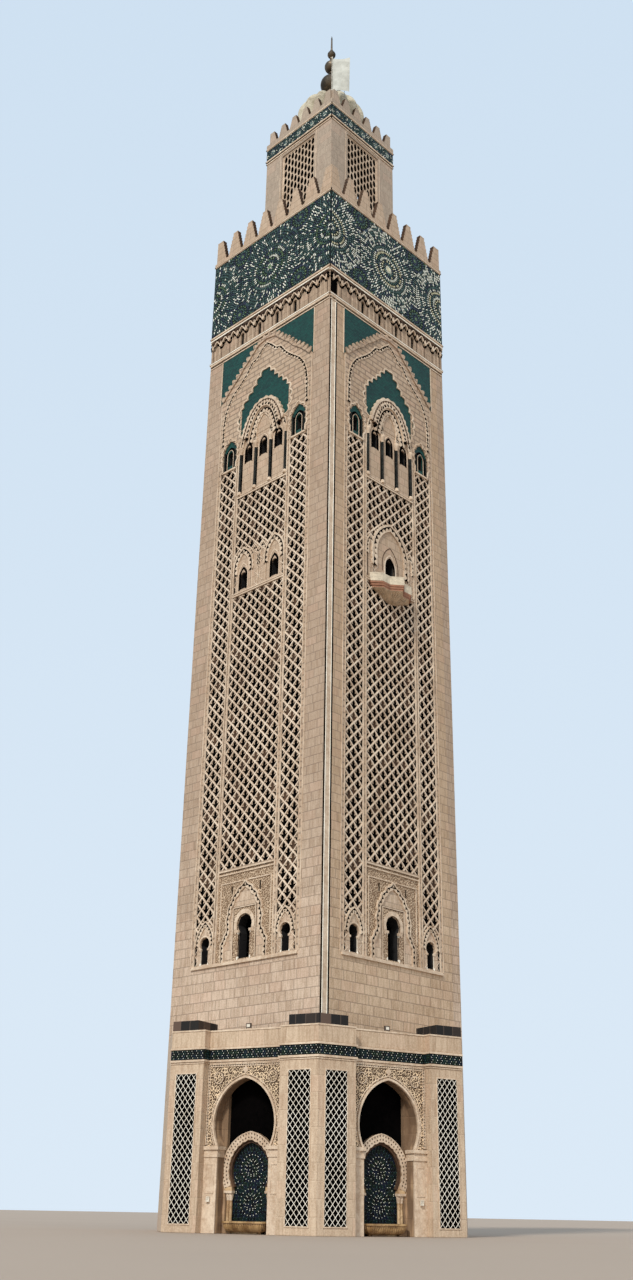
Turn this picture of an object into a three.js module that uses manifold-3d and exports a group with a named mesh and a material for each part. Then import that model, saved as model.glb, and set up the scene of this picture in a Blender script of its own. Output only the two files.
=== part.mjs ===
// A square minaret on a splayed base with fountain arches, at one tenth of its real size.
// Real metres are turned into millimetres of the model by M. +Z is up, the origin is the middle of
// the foot, -Y is the front and +X is the right side. The base is alike about its diagonal, and the
// back and left sides repeat the front and right ones by a half turn.

import * as THREE from 'three';
import { mergeVertices } from 'three/addons/utils/BufferGeometryUtils.js';
import Module from 'manifold-3d';

const wasm = await Module();
wasm.setup();

const M = 100;
const GAP = 0.3;

// Shaft
const HALF = 12.5 * M;
const WALL = 1.5 * M;
const INNER = HALF - WALL;
const WINDOW_WALL_FOOT = 29.1 * M;
const WINDOW_WALL_TOP = 35 * M;
const SHAFT_TOP = 119.6 * M;
const GALLERY_TOP = 124.4 * M;
const TILE_TOP = 138.8 * M;
const TILE_HALF = 12.62 * M;

// Carved facing, set in a shallow bed in each side of the shaft
const FIELD_HALF = 9.1 * M;
const FIELD_LOW = 28.8 * M;
const FIELD_HIGH = 118.6 * M;
const BED_DEPTH = 0.35 * M;
const FACING_BACK = 0.15 * M;
const RIB = 0.35 * M;
const STRIP_INNER = 5.0 * M;
const LATTICE_LEVELS = [39.8 * M, 77.5 * M, 93.0 * M];

// Fields left open in the facing for glazed tiles, in real metres: across from the middle, and up
const CORNER_FIELD = [[8.2, 118.1], [2.2, 118.1], [8.2, 111.4]];
const ARCH_FIELD = [
  [-4.4, 102.6], [-3.6, 108.4], [0, 112.7], [3.6, 108.4],
  [4.4, 102.6], [2.9, 105.6], [0, 108], [-2.9, 105.6],
];

// Windows of the shaft: middle, sill, width and height
const LOWER_WINDOW = { sill: WINDOW_WALL_FOOT, width: 2.6 * M, height: 5.2 * M };
const SIDE_WINDOW = { offset: 6.9 * M, sill: WINDOW_WALL_FOOT, width: 1.7 * M, height: 3.2 * M };
const PAIR_WINDOW = { offset: 3.0 * M, sill: 78.4 * M, width: 1.1 * M, height: 2.5 * M };
const BALCONY_WINDOW = { sill: 79.7 * M, width: 1.7 * M, height: 2.5 * M };
const ARCADE_WINDOW = { step: 3.0 * M, sill: 98.5 * M, width: 1.1 * M, height: 2.4 * M };
const NICHE = { offset: 6.9 * M, sill: 99.2 * M, width: 2.4 * M, height: 4.2 * M };
const NICHE_WINDOW = { sill: 99.4 * M, width: 1.1 * M, height: 2.4 * M };
const GALLERY_WINDOW = { step: 3.7 * M, sill: 120.1 * M, width: 0.7 * M, height: 2.2 * M };
const KEYHOLE_LEG = 0.78;
const WINDOW_FACETS = 3;

// Mouldings of the gallery: how far each stands out, and how high it is
const GALLERY_SILL = { out: 0.14 * M, high: 0.35 * M };
const GALLERY_SOFFIT = { out: 0.08 * M, high: 0.7 * M };

// Upright slots in two opposite corners, either side of a thin stone strip
const SLOT_DEPTH = 0.45 * M;
const SLOT_FROM_CORNER = 0.15 * M;
const SLOT_WIDTH = 0.2 * M;

// Base: two wings run from a vertex in front of the corner, each turned outwards from the shaft's side
const VERTEX = 19.3 / Math.SQRT2 * M;
const SPLAY = THREE.MathUtils.degToRad(15);
const WING = 18.85 * M;
const INNER_PIER = 4.7 * M;
const OUTER_PIER = 14.45 * M;
const PIER_STEP = 1.1 * M;
const BASE_TOP = 18.5 * M;
const SLAB_TOP = 18.9 * M;
const PARAPET_TOP = 20.55 * M;
const PARAPET = 0.4 * M;
const ARCH_WALL = 1.4 * M;
const NICHE_WALL = 0.5 * M;

// Lattice panels of the piers, cut as pockets of diamond outline
const PANEL = { sill: 0.85 * M, head: 15.9 * M, width: 2.7 * M, depth: 0.3 * M, bar: 0.16 * M };
const PANEL_ROWS = 6;
const PANEL_COLUMNS = 2;
const PANEL_POINT = 0.6;
const INNER_PANEL_AT = 2.25 * M;
const OUTER_PANEL_AT = 16.65 * M;

// Fountain arches: half width at the widest, its height, apex, spring and half width of the legs
const OUTER_ARCH = { half: 3.8 * M, wide: 10.8 * M, apex: 15.4 * M, spring: 8.5 * M, legs: 3.2 * M };
const INNER_ARCH = { half: 2.6 * M, wide: 6.1 * M, apex: 9.2 * M, spring: 4.5 * M, legs: 2.2 * M };
const OUTER_ARCH_FACETS = 5;
const INNER_ARCH_FACETS = 4;
const ARCHIVOLT = 0.85 * M;
const LEG_LAP = 0.1 * M;
const COLUMN = { radius: 0.16 * M, foot: 0.5 * M, top: 3.9 * M, sides: 8 };
const COLUMN_SHARES = [0.3, 0.72];
const BASIN = {
  half: 2.4 * M,
  front: 1.2 * M,
  height: 1.2 * M,
  wall: 0.22 * M,
  floor: 0.3 * M,
  chamfer: 0.45 * M,
};

// Screens of the floodlights on the piers
const SCREEN = { height: 1.05 * M, thick: 0.3 * M, inner: 3.7 * M, outer: 15.4 * M, back: 3.9 * M };
const WING_TURN = THREE.MathUtils.degToRad(60);

// Floors
const FLOOR = 0.5 * M;
const FLOOR_TOPS = {
  ground_floor: FLOOR,
  lower_floor: 28.9 * M,
  middle_floor: 77.6 * M,
  upper_floor: 97.6 * M,
  gallery_floor: 119.9 * M,
  roof_deck: 138.3 * M,
};

// Balcony on corbels
const BALCONY = {
  half: 4.1 * M,
  sill: 78.4 * M,
  rail: 80.0 * M,
  out: 1.3 * M,
  foot: 74.9 * M,
  wall: 0.25 * M,
  slab: 0.4 * M,
  steps: 4,
};

// Crenellation of the shaft and of the lantern
const MAIN_MERLONS = { count: 8, span: 11.72 * M, half: 12.7 * M, rail: 0.5 * M, top: 143.6 * M };
const LANTERN_MERLONS = { count: 6, span: 6.35 * M, half: 7.5 * M, rail: 0.45 * M, top: 167.4 * M };
const MERLON_WIDTH = 2.5 * M;
const LANTERN_MERLON_WIDTH = 1.75 * M;
const MERLON_SETBACK = 0.15 * M;
const MERLON_THICK = 0.7 * M;
const MERLON_STEPS = 5;
const MERLON_TAPER = 0.8;
const MERLON_PLAIN_HALF = 0.3;

// Lantern
const LANTERN_HALF = 7.39 * M;
const LANTERN_WALL = 0.9 * M;
const LANTERN_WALL_TOP = 161.15 * M;
const LANTERN_BAND_TOP = 164.0 * M;
const CLAUSTRA = { half: 3.7 * M, sill: 141.2 * M, head: 160.1 * M, thick: 0.35 * M, bar: 0.34 * M };
const CLAUSTRA_SETBACK = 0.25 * M;
const CLAUSTRA_COLUMNS = 4;
const CLAUSTRA_ROWS = 7;
const LANTERN_SLAB_TOP = 164.5 * M;
const LANTERN_BAND_HALF = 7.45 * M;
const LANTERN_BAND_INNER = 6.5 * M;

// Dome and finial
const DOME = {
  radius: 6 * M,
  middle: 169.5 * M,
  wall: 0.35 * M,
  lobe: 0.3 * M,
  lobes: 16,
  rings: 5,
  neck: 0.7 * M,
  plainBelow: 0.3,
};
const DOME_TOP = 175.6 * M;
const BALLS = [
  { middle: 179.45 * M, radius: 1.84 * M },
  { middle: 183.76 * M, radius: 1.18 * M },
  { middle: 186.8 * M, radius: 0.71 * M },
];
const BALL_RINGS = 6;
const BALL_SIDES = 12;
const BALL_NECK = 0.36 * M;
const ROD = { radius: 0.26 * M, above: 0.2 * M, tip: 0.13 * M, top: 191.4 * M };

// Flag on its pole behind the lantern's near corner
const POLE = { at: 6.25 * M, radius: 0.1 * M, top: 176 * M, sides: 8 };
const FLAG = {
  low: 167.8 * M,
  high: 175.6 * M,
  length: 3.0 * M,
  thick: 0.06 * M,
  turn: 42,
  steps: 6,
  swing: 0.16 * M,
  pace: 1.9,
};

const FINISH = {
  travertine: { color: 0xc9ad8c, roughness: 0.85, metalness: 0 },
  carved_stone: { color: 0xc2a684, roughness: 0.9, metalness: 0 },
  inner_stone: { color: 0xb09c82, roughness: 0.9, metalness: 0 },
  tile: { color: 0x2f4d4f, roughness: 0.4, metalness: 0 },
  marble: { color: 0x9a7440, roughness: 0.35, metalness: 0 },
  screen: { color: 0x141a1c, roughness: 0.6, metalness: 0.2 },
  dome_stone: { color: 0xcfc3a2, roughness: 0.8, metalness: 0 },
  bronze: { color: 0x4a3d33, roughness: 0.45, metalness: 0.8 },
  pole_metal: { color: 0xb8b2a2, roughness: 0.5, metalness: 0.6 },
  cloth: { color: 0xe6e3d2, roughness: 0.9, metalness: 0 },
};

// Solids and joins

function toSolid(geometry) {
  const bare = geometry.clone();
  bare.deleteAttribute('normal');
  bare.deleteAttribute('uv');
  const merged = mergeVertices(bare, 0.001);
  return new wasm.Manifold(new wasm.Mesh({
    numProp: 3,
    vertProperties: Float32Array.from(merged.attributes.position.array),
    triVerts: Uint32Array.from(merged.index.array),
  }));
}

function toGeometry(solid) {
  const mesh = solid.getMesh();
  const geometry = new THREE.BufferGeometry();
  geometry.setAttribute('position', new THREE.BufferAttribute(mesh.vertProperties, 3));
  geometry.setIndex(new THREE.BufferAttribute(mesh.triVerts, 1));
  geometry.computeVertexNormals();
  return geometry;
}

function joined(...geometries) {
  return toGeometry(geometries.map(toSolid).reduce((whole, next) => whole.add(next)));
}

function cut(geometry, tools) {
  return toGeometry(tools.map(toSolid).reduce((whole, tool) => whole.subtract(tool), toSolid(geometry)));
}

function block(x0, x1, y0, y1, z0, z1) {
  const geometry = new THREE.BoxGeometry(x1 - x0, y1 - y0, z1 - z0);
  return geometry.translate((x0 + x1) / 2, (y0 + y1) / 2, (z0 + z1) / 2);
}

function outline(points) {
  return new THREE.Shape(points.map(([x, y]) => new THREE.Vector2(x, y)));
}

// A plan outline raised from z0 to z1
function standing(points, z0, z1) {
  const options = { depth: z1 - z0, bevelEnabled: false, steps: 1 };
  return new THREE.ExtrudeGeometry(outline(points), options).translate(0, 0, z0);
}

// An outline in x and z, carried inwards from y0 to y1
function upright(shape, y0, y1, curveSegments = WINDOW_FACETS) {
  const options = { depth: y1 - y0, bevelEnabled: false, steps: 1, curveSegments };
  return new THREE.ExtrudeGeometry(shape, options).rotateX(Math.PI / 2).translate(0, y1, 0);
}

function squareRing(outer, inner, z0, z1) {
  const core = block(-inner, inner, -inner, inner, z0 - M, z1 + M);
  return cut(block(-outer, outer, -outer, outer, z0, z1), [core]);
}

// Window and arch outlines

function arched(middle, { sill, width, height }) {
  const radius = width / 2;
  const shape = new THREE.Shape();
  shape.moveTo(middle - radius, sill);
  shape.lineTo(middle + radius, sill);
  shape.absarc(middle, sill + height - radius, radius, 0, Math.PI, false);
  return shape;
}

// A narrow doorway shape below a round head that is wider than it
function keyhole(middle, { sill, width, height }) {
  const radius = width / 2;
  const leg = radius * KEYHOLE_LEG;
  const turn = Math.acos(leg / radius);
  const shape = new THREE.Shape();
  shape.moveTo(middle - leg, sill);
  shape.lineTo(middle + leg, sill);
  shape.absarc(middle, sill + height - radius, radius, -turn, Math.PI + turn, false);
  return shape;
}

// A pointed horseshoe arch: two arcs whose centres lie past the middle line
function horseshoe({ half, wide, apex, spring, legs }, grow = 0) {
  const rise = apex - wide;
  const past = (rise * rise - half * half) / (2 * half);
  const radius = half + past + grow;
  const top = Math.acos(past / radius);
  const low = -Math.asin((wide - spring) / radius);
  const shape = new THREE.Shape();
  shape.moveTo(-legs - grow, 0);
  shape.lineTo(legs + grow, 0);
  shape.lineTo(legs + grow, spring);
  shape.absarc(-past, wide, radius, low, top, false);
  shape.absarc(past, wide, radius, Math.PI - top, Math.PI - low, false);
  shape.lineTo(-legs - grow, spring);
  return shape;
}

// Diamonds in staggered rows over a panel, each as an upright prism
function diamonds(middle, panel, half, columns, rows, y0, y1) {
  const stepX = 2 * half / columns;
  const stepZ = (panel.head - panel.sill) / rows;
  const reachX = stepX / 2 - panel.bar * PANEL_POINT;
  const reachZ = stepZ / 2 * reachX / (stepX / 2);
  const prisms = [];
  for (let row = 1; row < 2 * rows; row += 1) {
    const shifted = row % 2 === 0;
    const count = shifted ? columns - 1 : columns;
    for (let column = 0; column < count; column += 1) {
      const x = middle - half + stepX * (column + (shifted ? 1 : 0.5));
      const z = panel.sill + stepZ / 2 * row;
      const points = [[x - reachX, z], [x, z - reachZ], [x + reachX, z], [x, z + reachZ]];
      prisms.push(upright(outline(points), y0, y1));
    }
  }
  return prisms;
}

// Pieces of the shaft, each in the frame of its side with the outer face at y = -HALF

function shaftWindows(hasBalcony) {
  const shapes = [keyhole(0, LOWER_WINDOW)];
  for (const side of [-1, 1]) {
    shapes.push(keyhole(side * SIDE_WINDOW.offset, SIDE_WINDOW));
    shapes.push(arched(side * NICHE.offset, NICHE_WINDOW));
  }
  for (const place of [-1, 0, 1]) shapes.push(arched(place * ARCADE_WINDOW.step, ARCADE_WINDOW));
  if (hasBalcony) {
    shapes.push(arched(0, BALCONY_WINDOW));
  } else {
    for (const side of [-1, 1]) shapes.push(arched(side * PAIR_WINDOW.offset, PAIR_WINDOW));
  }
  return shapes.map((shape) => upright(shape, -HALF - M, -INNER + M));
}

function slots(z0, z1) {
  const x0 = HALF - SLOT_DEPTH;
  const y0 = -HALF + SLOT_FROM_CORNER;
  return [
    block(x0, HALF + M, y0, y0 + SLOT_WIDTH, z0, z1),
    block(x0, HALF + M, -INNER - SLOT_WIDTH, -INNER + M, z0, z1),
  ];
}

function wall(z0, z1, hasBalcony) {
  const half = hasBalcony ? INNER - GAP : HALF;
  const body = block(-half, half, -HALF, -INNER, z0, z1);
  const bed = block(-FIELD_HALF, FIELD_HALF, -HALF - M, -HALF + BED_DEPTH, FIELD_LOW, FIELD_HIGH);
  const tools = [bed, ...shaftWindows(hasBalcony)];
  if (!hasBalcony) tools.push(...slots(z0 - M, z1 + M));
  return cut(body, tools);
}

// The carved facing keeps its moulded frame proud and its lattice ground set back
function facing(hasBalcony) {
  const edge = FIELD_HALF - GAP;
  const low = FIELD_LOW + GAP;
  const high = FIELD_HIGH - GAP;
  const back = -HALF + BED_DEPTH - GAP;
  const ground = block(-edge, edge, back - FACING_BACK, back, low, high);
  const ribs = [];
  for (const side of [-1, 1]) {
    for (const x of [side * (edge - RIB / 2), side * STRIP_INNER]) {
      ribs.push(block(x - RIB / 2, x + RIB / 2, -HALF, back, low, high));
    }
  }
  for (const z of LATTICE_LEVELS) ribs.push(block(-STRIP_INNER, STRIP_INNER, -HALF, back, z, z + RIB));
  ribs.push(block(-edge, edge, -HALF, back, high - RIB, high));
  ribs.push(block(-edge, edge, -HALF, back, low, low + RIB / 2));
  const tools = shaftWindows(hasBalcony);
  const field = (points, side) => upright(
    outline(points.map(([x, z]) => [side * x * M, z * M])),
    -HALF - M,
    -INNER,
  );
  tools.push(field(ARCH_FIELD, 1));
  for (const side of [-1, 1]) {
    tools.push(field(CORNER_FIELD, side));
    tools.push(upright(arched(side * NICHE.offset, NICHE), -HALF - M, -INNER));
  }
  if (hasBalcony) {
    const { half, foot, rail } = BALCONY;
    tools.push(block(-half - GAP, half + GAP, -HALF - M, -INNER, foot - GAP, rail + GAP));
  }
  return cut(joined(ground, ...ribs), tools);
}

// A parapet on a stepped corbel, bedded through the facing into the wall
function balcony() {
  const { half, sill, rail, out, foot, slab, wall: thick, steps } = BALCONY;
  const front = -HALF - out;
  const back = -HALF + BED_DEPTH - GAP;
  const solids = [
    block(-half, half, front, back, sill - slab, sill),
    block(-half, half, front, front + thick, sill - slab, rail),
  ];
  for (const side of [-1, 1]) {
    const x = side * (half - thick / 2);
    solids.push(block(x - thick / 2, x + thick / 2, front, back, sill - slab, rail));
  }
  const drop = (sill - slab - foot) / steps;
  for (let step = 0; step < steps; step += 1) {
    const share = 1 - (step + 1) / (steps + 1);
    const top = sill - slab - drop * step;
    solids.push(block(-half * share, half * share, -HALF - out * share, back, top - drop, top + GAP));
  }
  return joined(...solids);
}

// The storey of small windows between two mouldings, with a dark recess beside two of its corners
function gallery() {
  const sillTop = SHAFT_TOP + GALLERY_SILL.high;
  const soffitFoot = GALLERY_TOP - GALLERY_SOFFIT.high;
  const ring = squareRing(HALF, INNER, SHAFT_TOP + GAP, GALLERY_TOP);
  const sill = squareRing(HALF + GALLERY_SILL.out, INNER, SHAFT_TOP + GAP, sillTop);
  const soffit = squareRing(HALF + GALLERY_SOFFIT.out, INNER, soffitFoot, GALLERY_TOP);
  const tools = [];
  for (const turn of [0, 1, 2, 3]) {
    for (const place of [-1.5, -0.5, 0.5, 1.5]) {
      const window = upright(arched(place * GALLERY_WINDOW.step, GALLERY_WINDOW), -HALF - M, -INNER + M);
      tools.push(window.rotateZ(turn * Math.PI / 2));
    }
  }
  for (const turn of [0, Math.PI]) {
    const y0 = -HALF + SLOT_FROM_CORNER;
    const recess = block(HALF - SLOT_DEPTH, HALF + M, y0, -INNER, sillTop, soffitFoot);
    tools.push(recess.rotateZ(turn));
  }
  return cut(joined(ring, sill, soffit), tools);
}

// Stepped merlons on a rail, the corner ones with a plain outer edge
function merlonOutline(middle, width, foot, top, plainSide) {
  const height = top - foot;
  const points = [];
  for (const side of [1, -1]) {
    const stepped = [];
    for (let step = 0; step < MERLON_STEPS; step += 1) {
      const x = middle + side * width / 2 * (1 - step / MERLON_STEPS * MERLON_TAPER);
      stepped.push([x, foot + height * step / MERLON_STEPS]);
      stepped.push([x, foot + height * (step + 1) / MERLON_STEPS]);
    }
    const plainX = middle + side * width * MERLON_PLAIN_HALF;
    const edge = plainSide === side ? [[plainX, foot], [plainX, top]] : stepped;
    points.push(...(side === 1 ? edge : edge.reverse()));
  }
  return outline(points);
}

function crenellation({ count, span, half, rail, top }, width, foot) {
  const face = half - MERLON_SETBACK;
  const solids = [squareRing(half, face - MERLON_THICK, foot, foot + rail)];
  const step = 2 * span / (count - 1);
  for (const turn of [0, 1, 2, 3]) {
    for (let place = 0; place < count; place += 1) {
      const middle = -span + place * step;
      const plainSide = place === 0 ? -1 : (place === count - 1 ? 1 : 0);
      const shape = merlonOutline(middle, width, foot + rail / 2, top, plainSide);
      solids.push(upright(shape, -face, -face + MERLON_THICK).rotateZ(turn * Math.PI / 2));
    }
  }
  return joined(...solids);
}

// Plan of the base: s runs along a wing from the vertex and depth inwards from its face

function wingPoint(s, depth, hand) {
  const x = VERTEX - s * Math.cos(SPLAY) - depth * Math.sin(SPLAY);
  const y = -VERTEX - s * Math.sin(SPLAY) + depth * Math.cos(SPLAY);
  return hand === 1 ? [x, y] : [-y, -x];
}

// Depth at which a wing meets the side of the shaft, with the clearance left to it
function shaftDepth(s) {
  return (VERTEX - HALF - GAP + s * Math.sin(SPLAY)) / Math.cos(SPLAY);
}

// A wing's plan is drawn with x = -s and y = depth, and then set at the near corner
function toBase(geometry, hand) {
  geometry.rotateZ(SPLAY).translate(VERTEX, -VERTEX, 0);
  return hand === 1 ? geometry : mirrored(geometry);
}

// The same solid on the other side of the base's diagonal, with its faces turned out again
function mirrored(geometry) {
  const swap = new THREE.Matrix4().set(0, -1, 0, 0, -1, 0, 0, 0, 0, 0, 1, 0, 0, 0, 0, 1);
  const flat = geometry.index ? geometry.toNonIndexed() : geometry.clone();
  flat.applyMatrix4(swap);
  const { array } = flat.attributes.position;
  for (let start = 0; start < array.length; start += 9) {
    const first = array.slice(start, start + 3);
    array.copyWithin(start, start + 6, start + 9);
    array.set(first, start + 6);
  }
  flat.computeVertexNormals();
  return flat;
}

// Pockets of one lattice panel
function panelPockets(at, hand) {
  const pockets = diamonds(-at, PANEL, PANEL.width / 2, PANEL_COLUMNS, PANEL_ROWS, -M, PANEL.depth);
  return pockets.map((pocket) => toBase(pocket, hand));
}

function cornerPier() {
  const arm = (hand) => [
    wingPoint(INNER_PIER, shaftDepth(INNER_PIER), hand),
    wingPoint(INNER_PIER, 0, hand),
  ];
  const [rightBack, rightFront] = arm(-1);
  const shaftCorner = [HALF + GAP, -HALF - GAP];
  const points = [...arm(1), wingPoint(0, 0, 1), rightFront, rightBack, shaftCorner];
  const pockets = [...panelPockets(INNER_PANEL_AT, 1), ...panelPockets(INNER_PANEL_AT, -1)];
  return cut(standing(points, 0, PARAPET_TOP), pockets);
}

function outerPier(hand) {
  const end = hand === 1 ? [-HALF, -HALF - GAP] : [HALF + GAP, HALF];
  const points = [
    wingPoint(OUTER_PIER, 0, hand),
    wingPoint(WING, 0, hand),
    end,
    wingPoint(OUTER_PIER, shaftDepth(OUTER_PIER), hand),
  ];
  return cut(standing(points, 0, PARAPET_TOP), panelPockets(OUTER_PANEL_AT, hand));
}

// One bay between two piers: the arched wall with its roof slab and parapet, and behind it the
// fountain's own smaller arch on paired columns
function fountainBay(hand) {
  const from = INNER_PIER + GAP;
  const to = OUTER_PIER - GAP;
  const middle = -(from + to) / 2;
  const front = PIER_STEP;
  const back = front + ARCH_WALL;
  const deep = shaftDepth(to);
  const legs = INNER_ARCH.legs + ARCHIVOLT;
  const solids = [
    block(-to, -from, front, back, 0, BASE_TOP),
    block(-to, -from, front, deep, BASE_TOP - GAP, SLAB_TOP),
    block(-to, -from, front, front + PARAPET, SLAB_TOP - GAP, PARAPET_TOP),
  ];
  for (const side of [-1, 1]) {
    const edge = side > 0 ? -from : -to;
    const near = middle + side * (legs - LEG_LAP);
    const x0 = Math.min(edge, near);
    const x1 = Math.max(edge, near);
    solids.push(block(x0, x1, back - GAP, back + NICHE_WALL, 0, BASE_TOP));
  }
  const archivolt = upright(horseshoe(INNER_ARCH, ARCHIVOLT), back, back + NICHE_WALL, INNER_ARCH_FACETS);
  const outerOpening = upright(horseshoe(OUTER_ARCH), front - M, back, OUTER_ARCH_FACETS);
  const innerOpening = upright(horseshoe(INNER_ARCH), back - M, back + M, INNER_ARCH_FACETS);
  const wallAndRoof = cut(joined(...solids), [outerOpening.translate(middle, 0, -GAP)]);
  const masonry = joined(wallAndRoof, archivolt.translate(middle, 0, 0));
  const tools = [innerOpening.translate(middle, 0, -GAP)];
  const columns = [];
  for (const side of [-1, 1]) {
    const outer = middle + side * (legs - LEG_LAP);
    const inner = middle + side * (INNER_ARCH.legs - LEG_LAP);
    const x0 = Math.min(outer, inner);
    const x1 = Math.max(outer, inner);
    tools.push(block(x0, x1, back - GAP, back + M, COLUMN.foot, COLUMN.top));
    for (const share of COLUMN_SHARES) {
      const height = COLUMN.top - COLUMN.foot + 2 * GAP;
      const column = new THREE.CylinderGeometry(COLUMN.radius, COLUMN.radius, height, COLUMN.sides);
      const x = outer + (inner - outer) * share;
      column.rotateX(Math.PI / 2).translate(x, back + NICHE_WALL / 2, (COLUMN.foot + COLUMN.top) / 2);
      columns.push(column);
    }
  }
  const bay = joined(cut(masonry, tools), ...columns);
  const reach = deep + HALF;
  const beyond = standing([
    [-to - M, shaftDepth(to + M)],
    [-from + M, shaftDepth(from - M)],
    [-from + M, reach],
    [-to - M, reach],
  ], -M, PARAPET_TOP + M);
  return toBase(cut(bay, [beyond]), hand);
}

function basin(hand) {
  const middle = -(INNER_PIER + OUTER_PIER) / 2;
  const back = PIER_STEP + ARCH_WALL - GAP;
  const plan = (shrink) => {
    const half = BASIN.half - shrink;
    const front = BASIN.front + shrink;
    const chamfer = BASIN.chamfer;
    return [
      [middle - half, back - shrink], [middle - half, front + chamfer], [middle - half + chamfer, front],
      [middle + half - chamfer, front], [middle + half, front + chamfer], [middle + half, back - shrink],
    ];
  };
  const well = standing(plan(BASIN.wall), BASIN.floor, BASIN.height + M);
  return toBase(cut(standing(plan(0), 0, BASIN.height), [well]), hand);
}

// Dark upright plates on the piers, turned back towards the shaft at their inner ends
function outerScreen(hand) {
  const { outer, thick, back, height } = SCREEN;
  const z0 = PARAPET_TOP + GAP;
  const front = block(-WING, -outer, 0, thick, z0, z0 + height);
  const side = block(-outer - thick, -outer, thick / 2, back, z0, z0 + height);
  return toBase(joined(front, side), hand);
}

function cornerScreen() {
  const { inner, thick, height } = SCREEN;
  const fold = thick * Math.tan(WING_TURN / 2);
  const plan = [
    wingPoint(inner, thick, 1), wingPoint(inner, 0, 1), wingPoint(0, 0, 1),
    wingPoint(inner, 0, -1), wingPoint(inner, thick, -1), wingPoint(fold, thick, 1),
  ];
  return standing(plan, PARAPET_TOP + GAP, PARAPET_TOP + GAP + height);
}

// Lantern

function lanternWalls() {
  const inner = LANTERN_HALF - LANTERN_WALL;
  const walls = squareRing(LANTERN_HALF, inner, FLOOR_TOPS.roof_deck + GAP, LANTERN_WALL_TOP);
  const { half, sill, head } = CLAUSTRA;
  const tools = [0, 1, 2, 3].map((turn) => {
    const opening = block(-half, half, -LANTERN_HALF - M, -inner + M, sill, head);
    return opening.rotateZ(turn * Math.PI / 2);
  });
  return cut(walls, tools);
}

function claustra() {
  const half = CLAUSTRA.half - GAP;
  const y0 = -LANTERN_HALF + CLAUSTRA_SETBACK;
  const plate = block(-half, half, y0, y0 + CLAUSTRA.thick, CLAUSTRA.sill + GAP, CLAUSTRA.head - GAP);
  return cut(plate, diamonds(0, CLAUSTRA, CLAUSTRA.half, CLAUSTRA_COLUMNS, CLAUSTRA_ROWS, y0 - M, y0 + M));
}

// The dome's section from its foot to its crown, with an upright drum below the middle
function domeSection(shrink, crown) {
  const radius = DOME.radius - shrink;
  const points = [[radius, LANTERN_SLAB_TOP + GAP], [radius, DOME.middle]];
  for (let turn = 1; turn <= DOME.rings; turn += 1) {
    const angle = Math.PI / 2 * turn / DOME.rings;
    const least = turn === DOME.rings ? crown : 0;
    const rise = (DOME_TOP - DOME.middle - shrink) * Math.sin(angle);
    points.push([Math.max(radius * Math.cos(angle), least), DOME.middle + rise]);
  }
  return points;
}

function turned(profile, segments) {
  const points = profile.map(([radius, z]) => new THREE.Vector2(radius, z));
  return new THREE.LatheGeometry(points, segments).rotateX(Math.PI / 2);
}

// Every second rib line of the dome is drawn in, so that the skin stands in lobes
function dome() {
  const outer = domeSection(0, DOME.neck);
  const inner = domeSection(DOME.wall + DOME.lobe, 0);
  inner[inner.length - 1][0] = 0;
  const skin = turned([...inner.reverse(), ...outer, [0, DOME_TOP]], DOME.lobes * 2);
  const place = skin.attributes.position;
  for (let index = 0; index < place.count; index += 1) {
    const radius = Math.hypot(place.getX(index), place.getY(index));
    const line = Math.round(Math.atan2(place.getY(index), place.getX(index)) / Math.PI * DOME.lobes);
    const lobed = line % 2 !== 0 && radius > DOME.radius * DOME.plainBelow;
    const drawn = lobed ? 1 - DOME.lobe / DOME.radius : 1;
    place.setXY(index, place.getX(index) * drawn, place.getY(index) * drawn);
  }
  return toGeometry(toSolid(skin));
}

function finial() {
  const profile = [[0, DOME_TOP + GAP], [DOME.neck, DOME_TOP + GAP]];
  for (const { middle, radius } of BALLS) {
    const join = Math.asin(BALL_NECK / radius);
    for (let turn = 0; turn <= BALL_RINGS; turn += 1) {
      const angle = -Math.PI / 2 + join + (Math.PI - 2 * join) * turn / BALL_RINGS;
      profile.push([radius * Math.cos(angle), middle + radius * Math.sin(angle)]);
    }
  }
  const last = BALLS[BALLS.length - 1];
  const rodFoot = last.middle + last.radius + ROD.above;
  profile.push([ROD.radius, rodFoot], [ROD.tip, ROD.top], [0, ROD.top]);
  return toGeometry(toSolid(turned(profile, BALL_SIDES)));
}

function flag() {
  const start = POLE.radius + GAP;
  const points = [];
  for (let step = 0; step <= FLAG.steps; step += 1) {
    const share = step / FLAG.steps;
    points.push([start + FLAG.length * share, FLAG.swing * Math.sin(step * FLAG.pace) * share]);
  }
  const back = points.map(([x, y]) => [x, y + FLAG.thick]).reverse();
  return standing([...points, ...back], FLAG.low, FLAG.high);
}

// The scene

const minaret = new THREE.Group();

function piece(parent, name, geometry, finish) {
  const mesh = new THREE.Mesh(geometry, new THREE.MeshStandardMaterial(FINISH[finish]));
  mesh.name = name;
  parent.add(mesh);
  return mesh;
}

// The right and left sides have a balcony where the front and back have a pair of windows
['front', 'right', 'back', 'left'].forEach((name, index) => {
  const group = new THREE.Group();
  group.rotation.z = index * Math.PI / 2;
  minaret.add(group);
  const hasBalcony = index % 2 === 1;
  const storey = (part, z0, z1) => piece(group, `${name}_${part}`, wall(z0, z1, hasBalcony), 'travertine');
  storey('lower_wall', 0, WINDOW_WALL_FOOT - GAP);
  storey('window_wall', WINDOW_WALL_FOOT, WINDOW_WALL_TOP - GAP);
  storey('shaft_wall', WINDOW_WALL_TOP, SHAFT_TOP);
  piece(group, `${name}_carved_facing`, facing(hasBalcony), 'carved_stone');
  if (hasBalcony) piece(group, `${name}_balcony`, balcony(), 'travertine');
  piece(group, `${name}_claustra`, claustra(), 'carved_stone');
});

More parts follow.
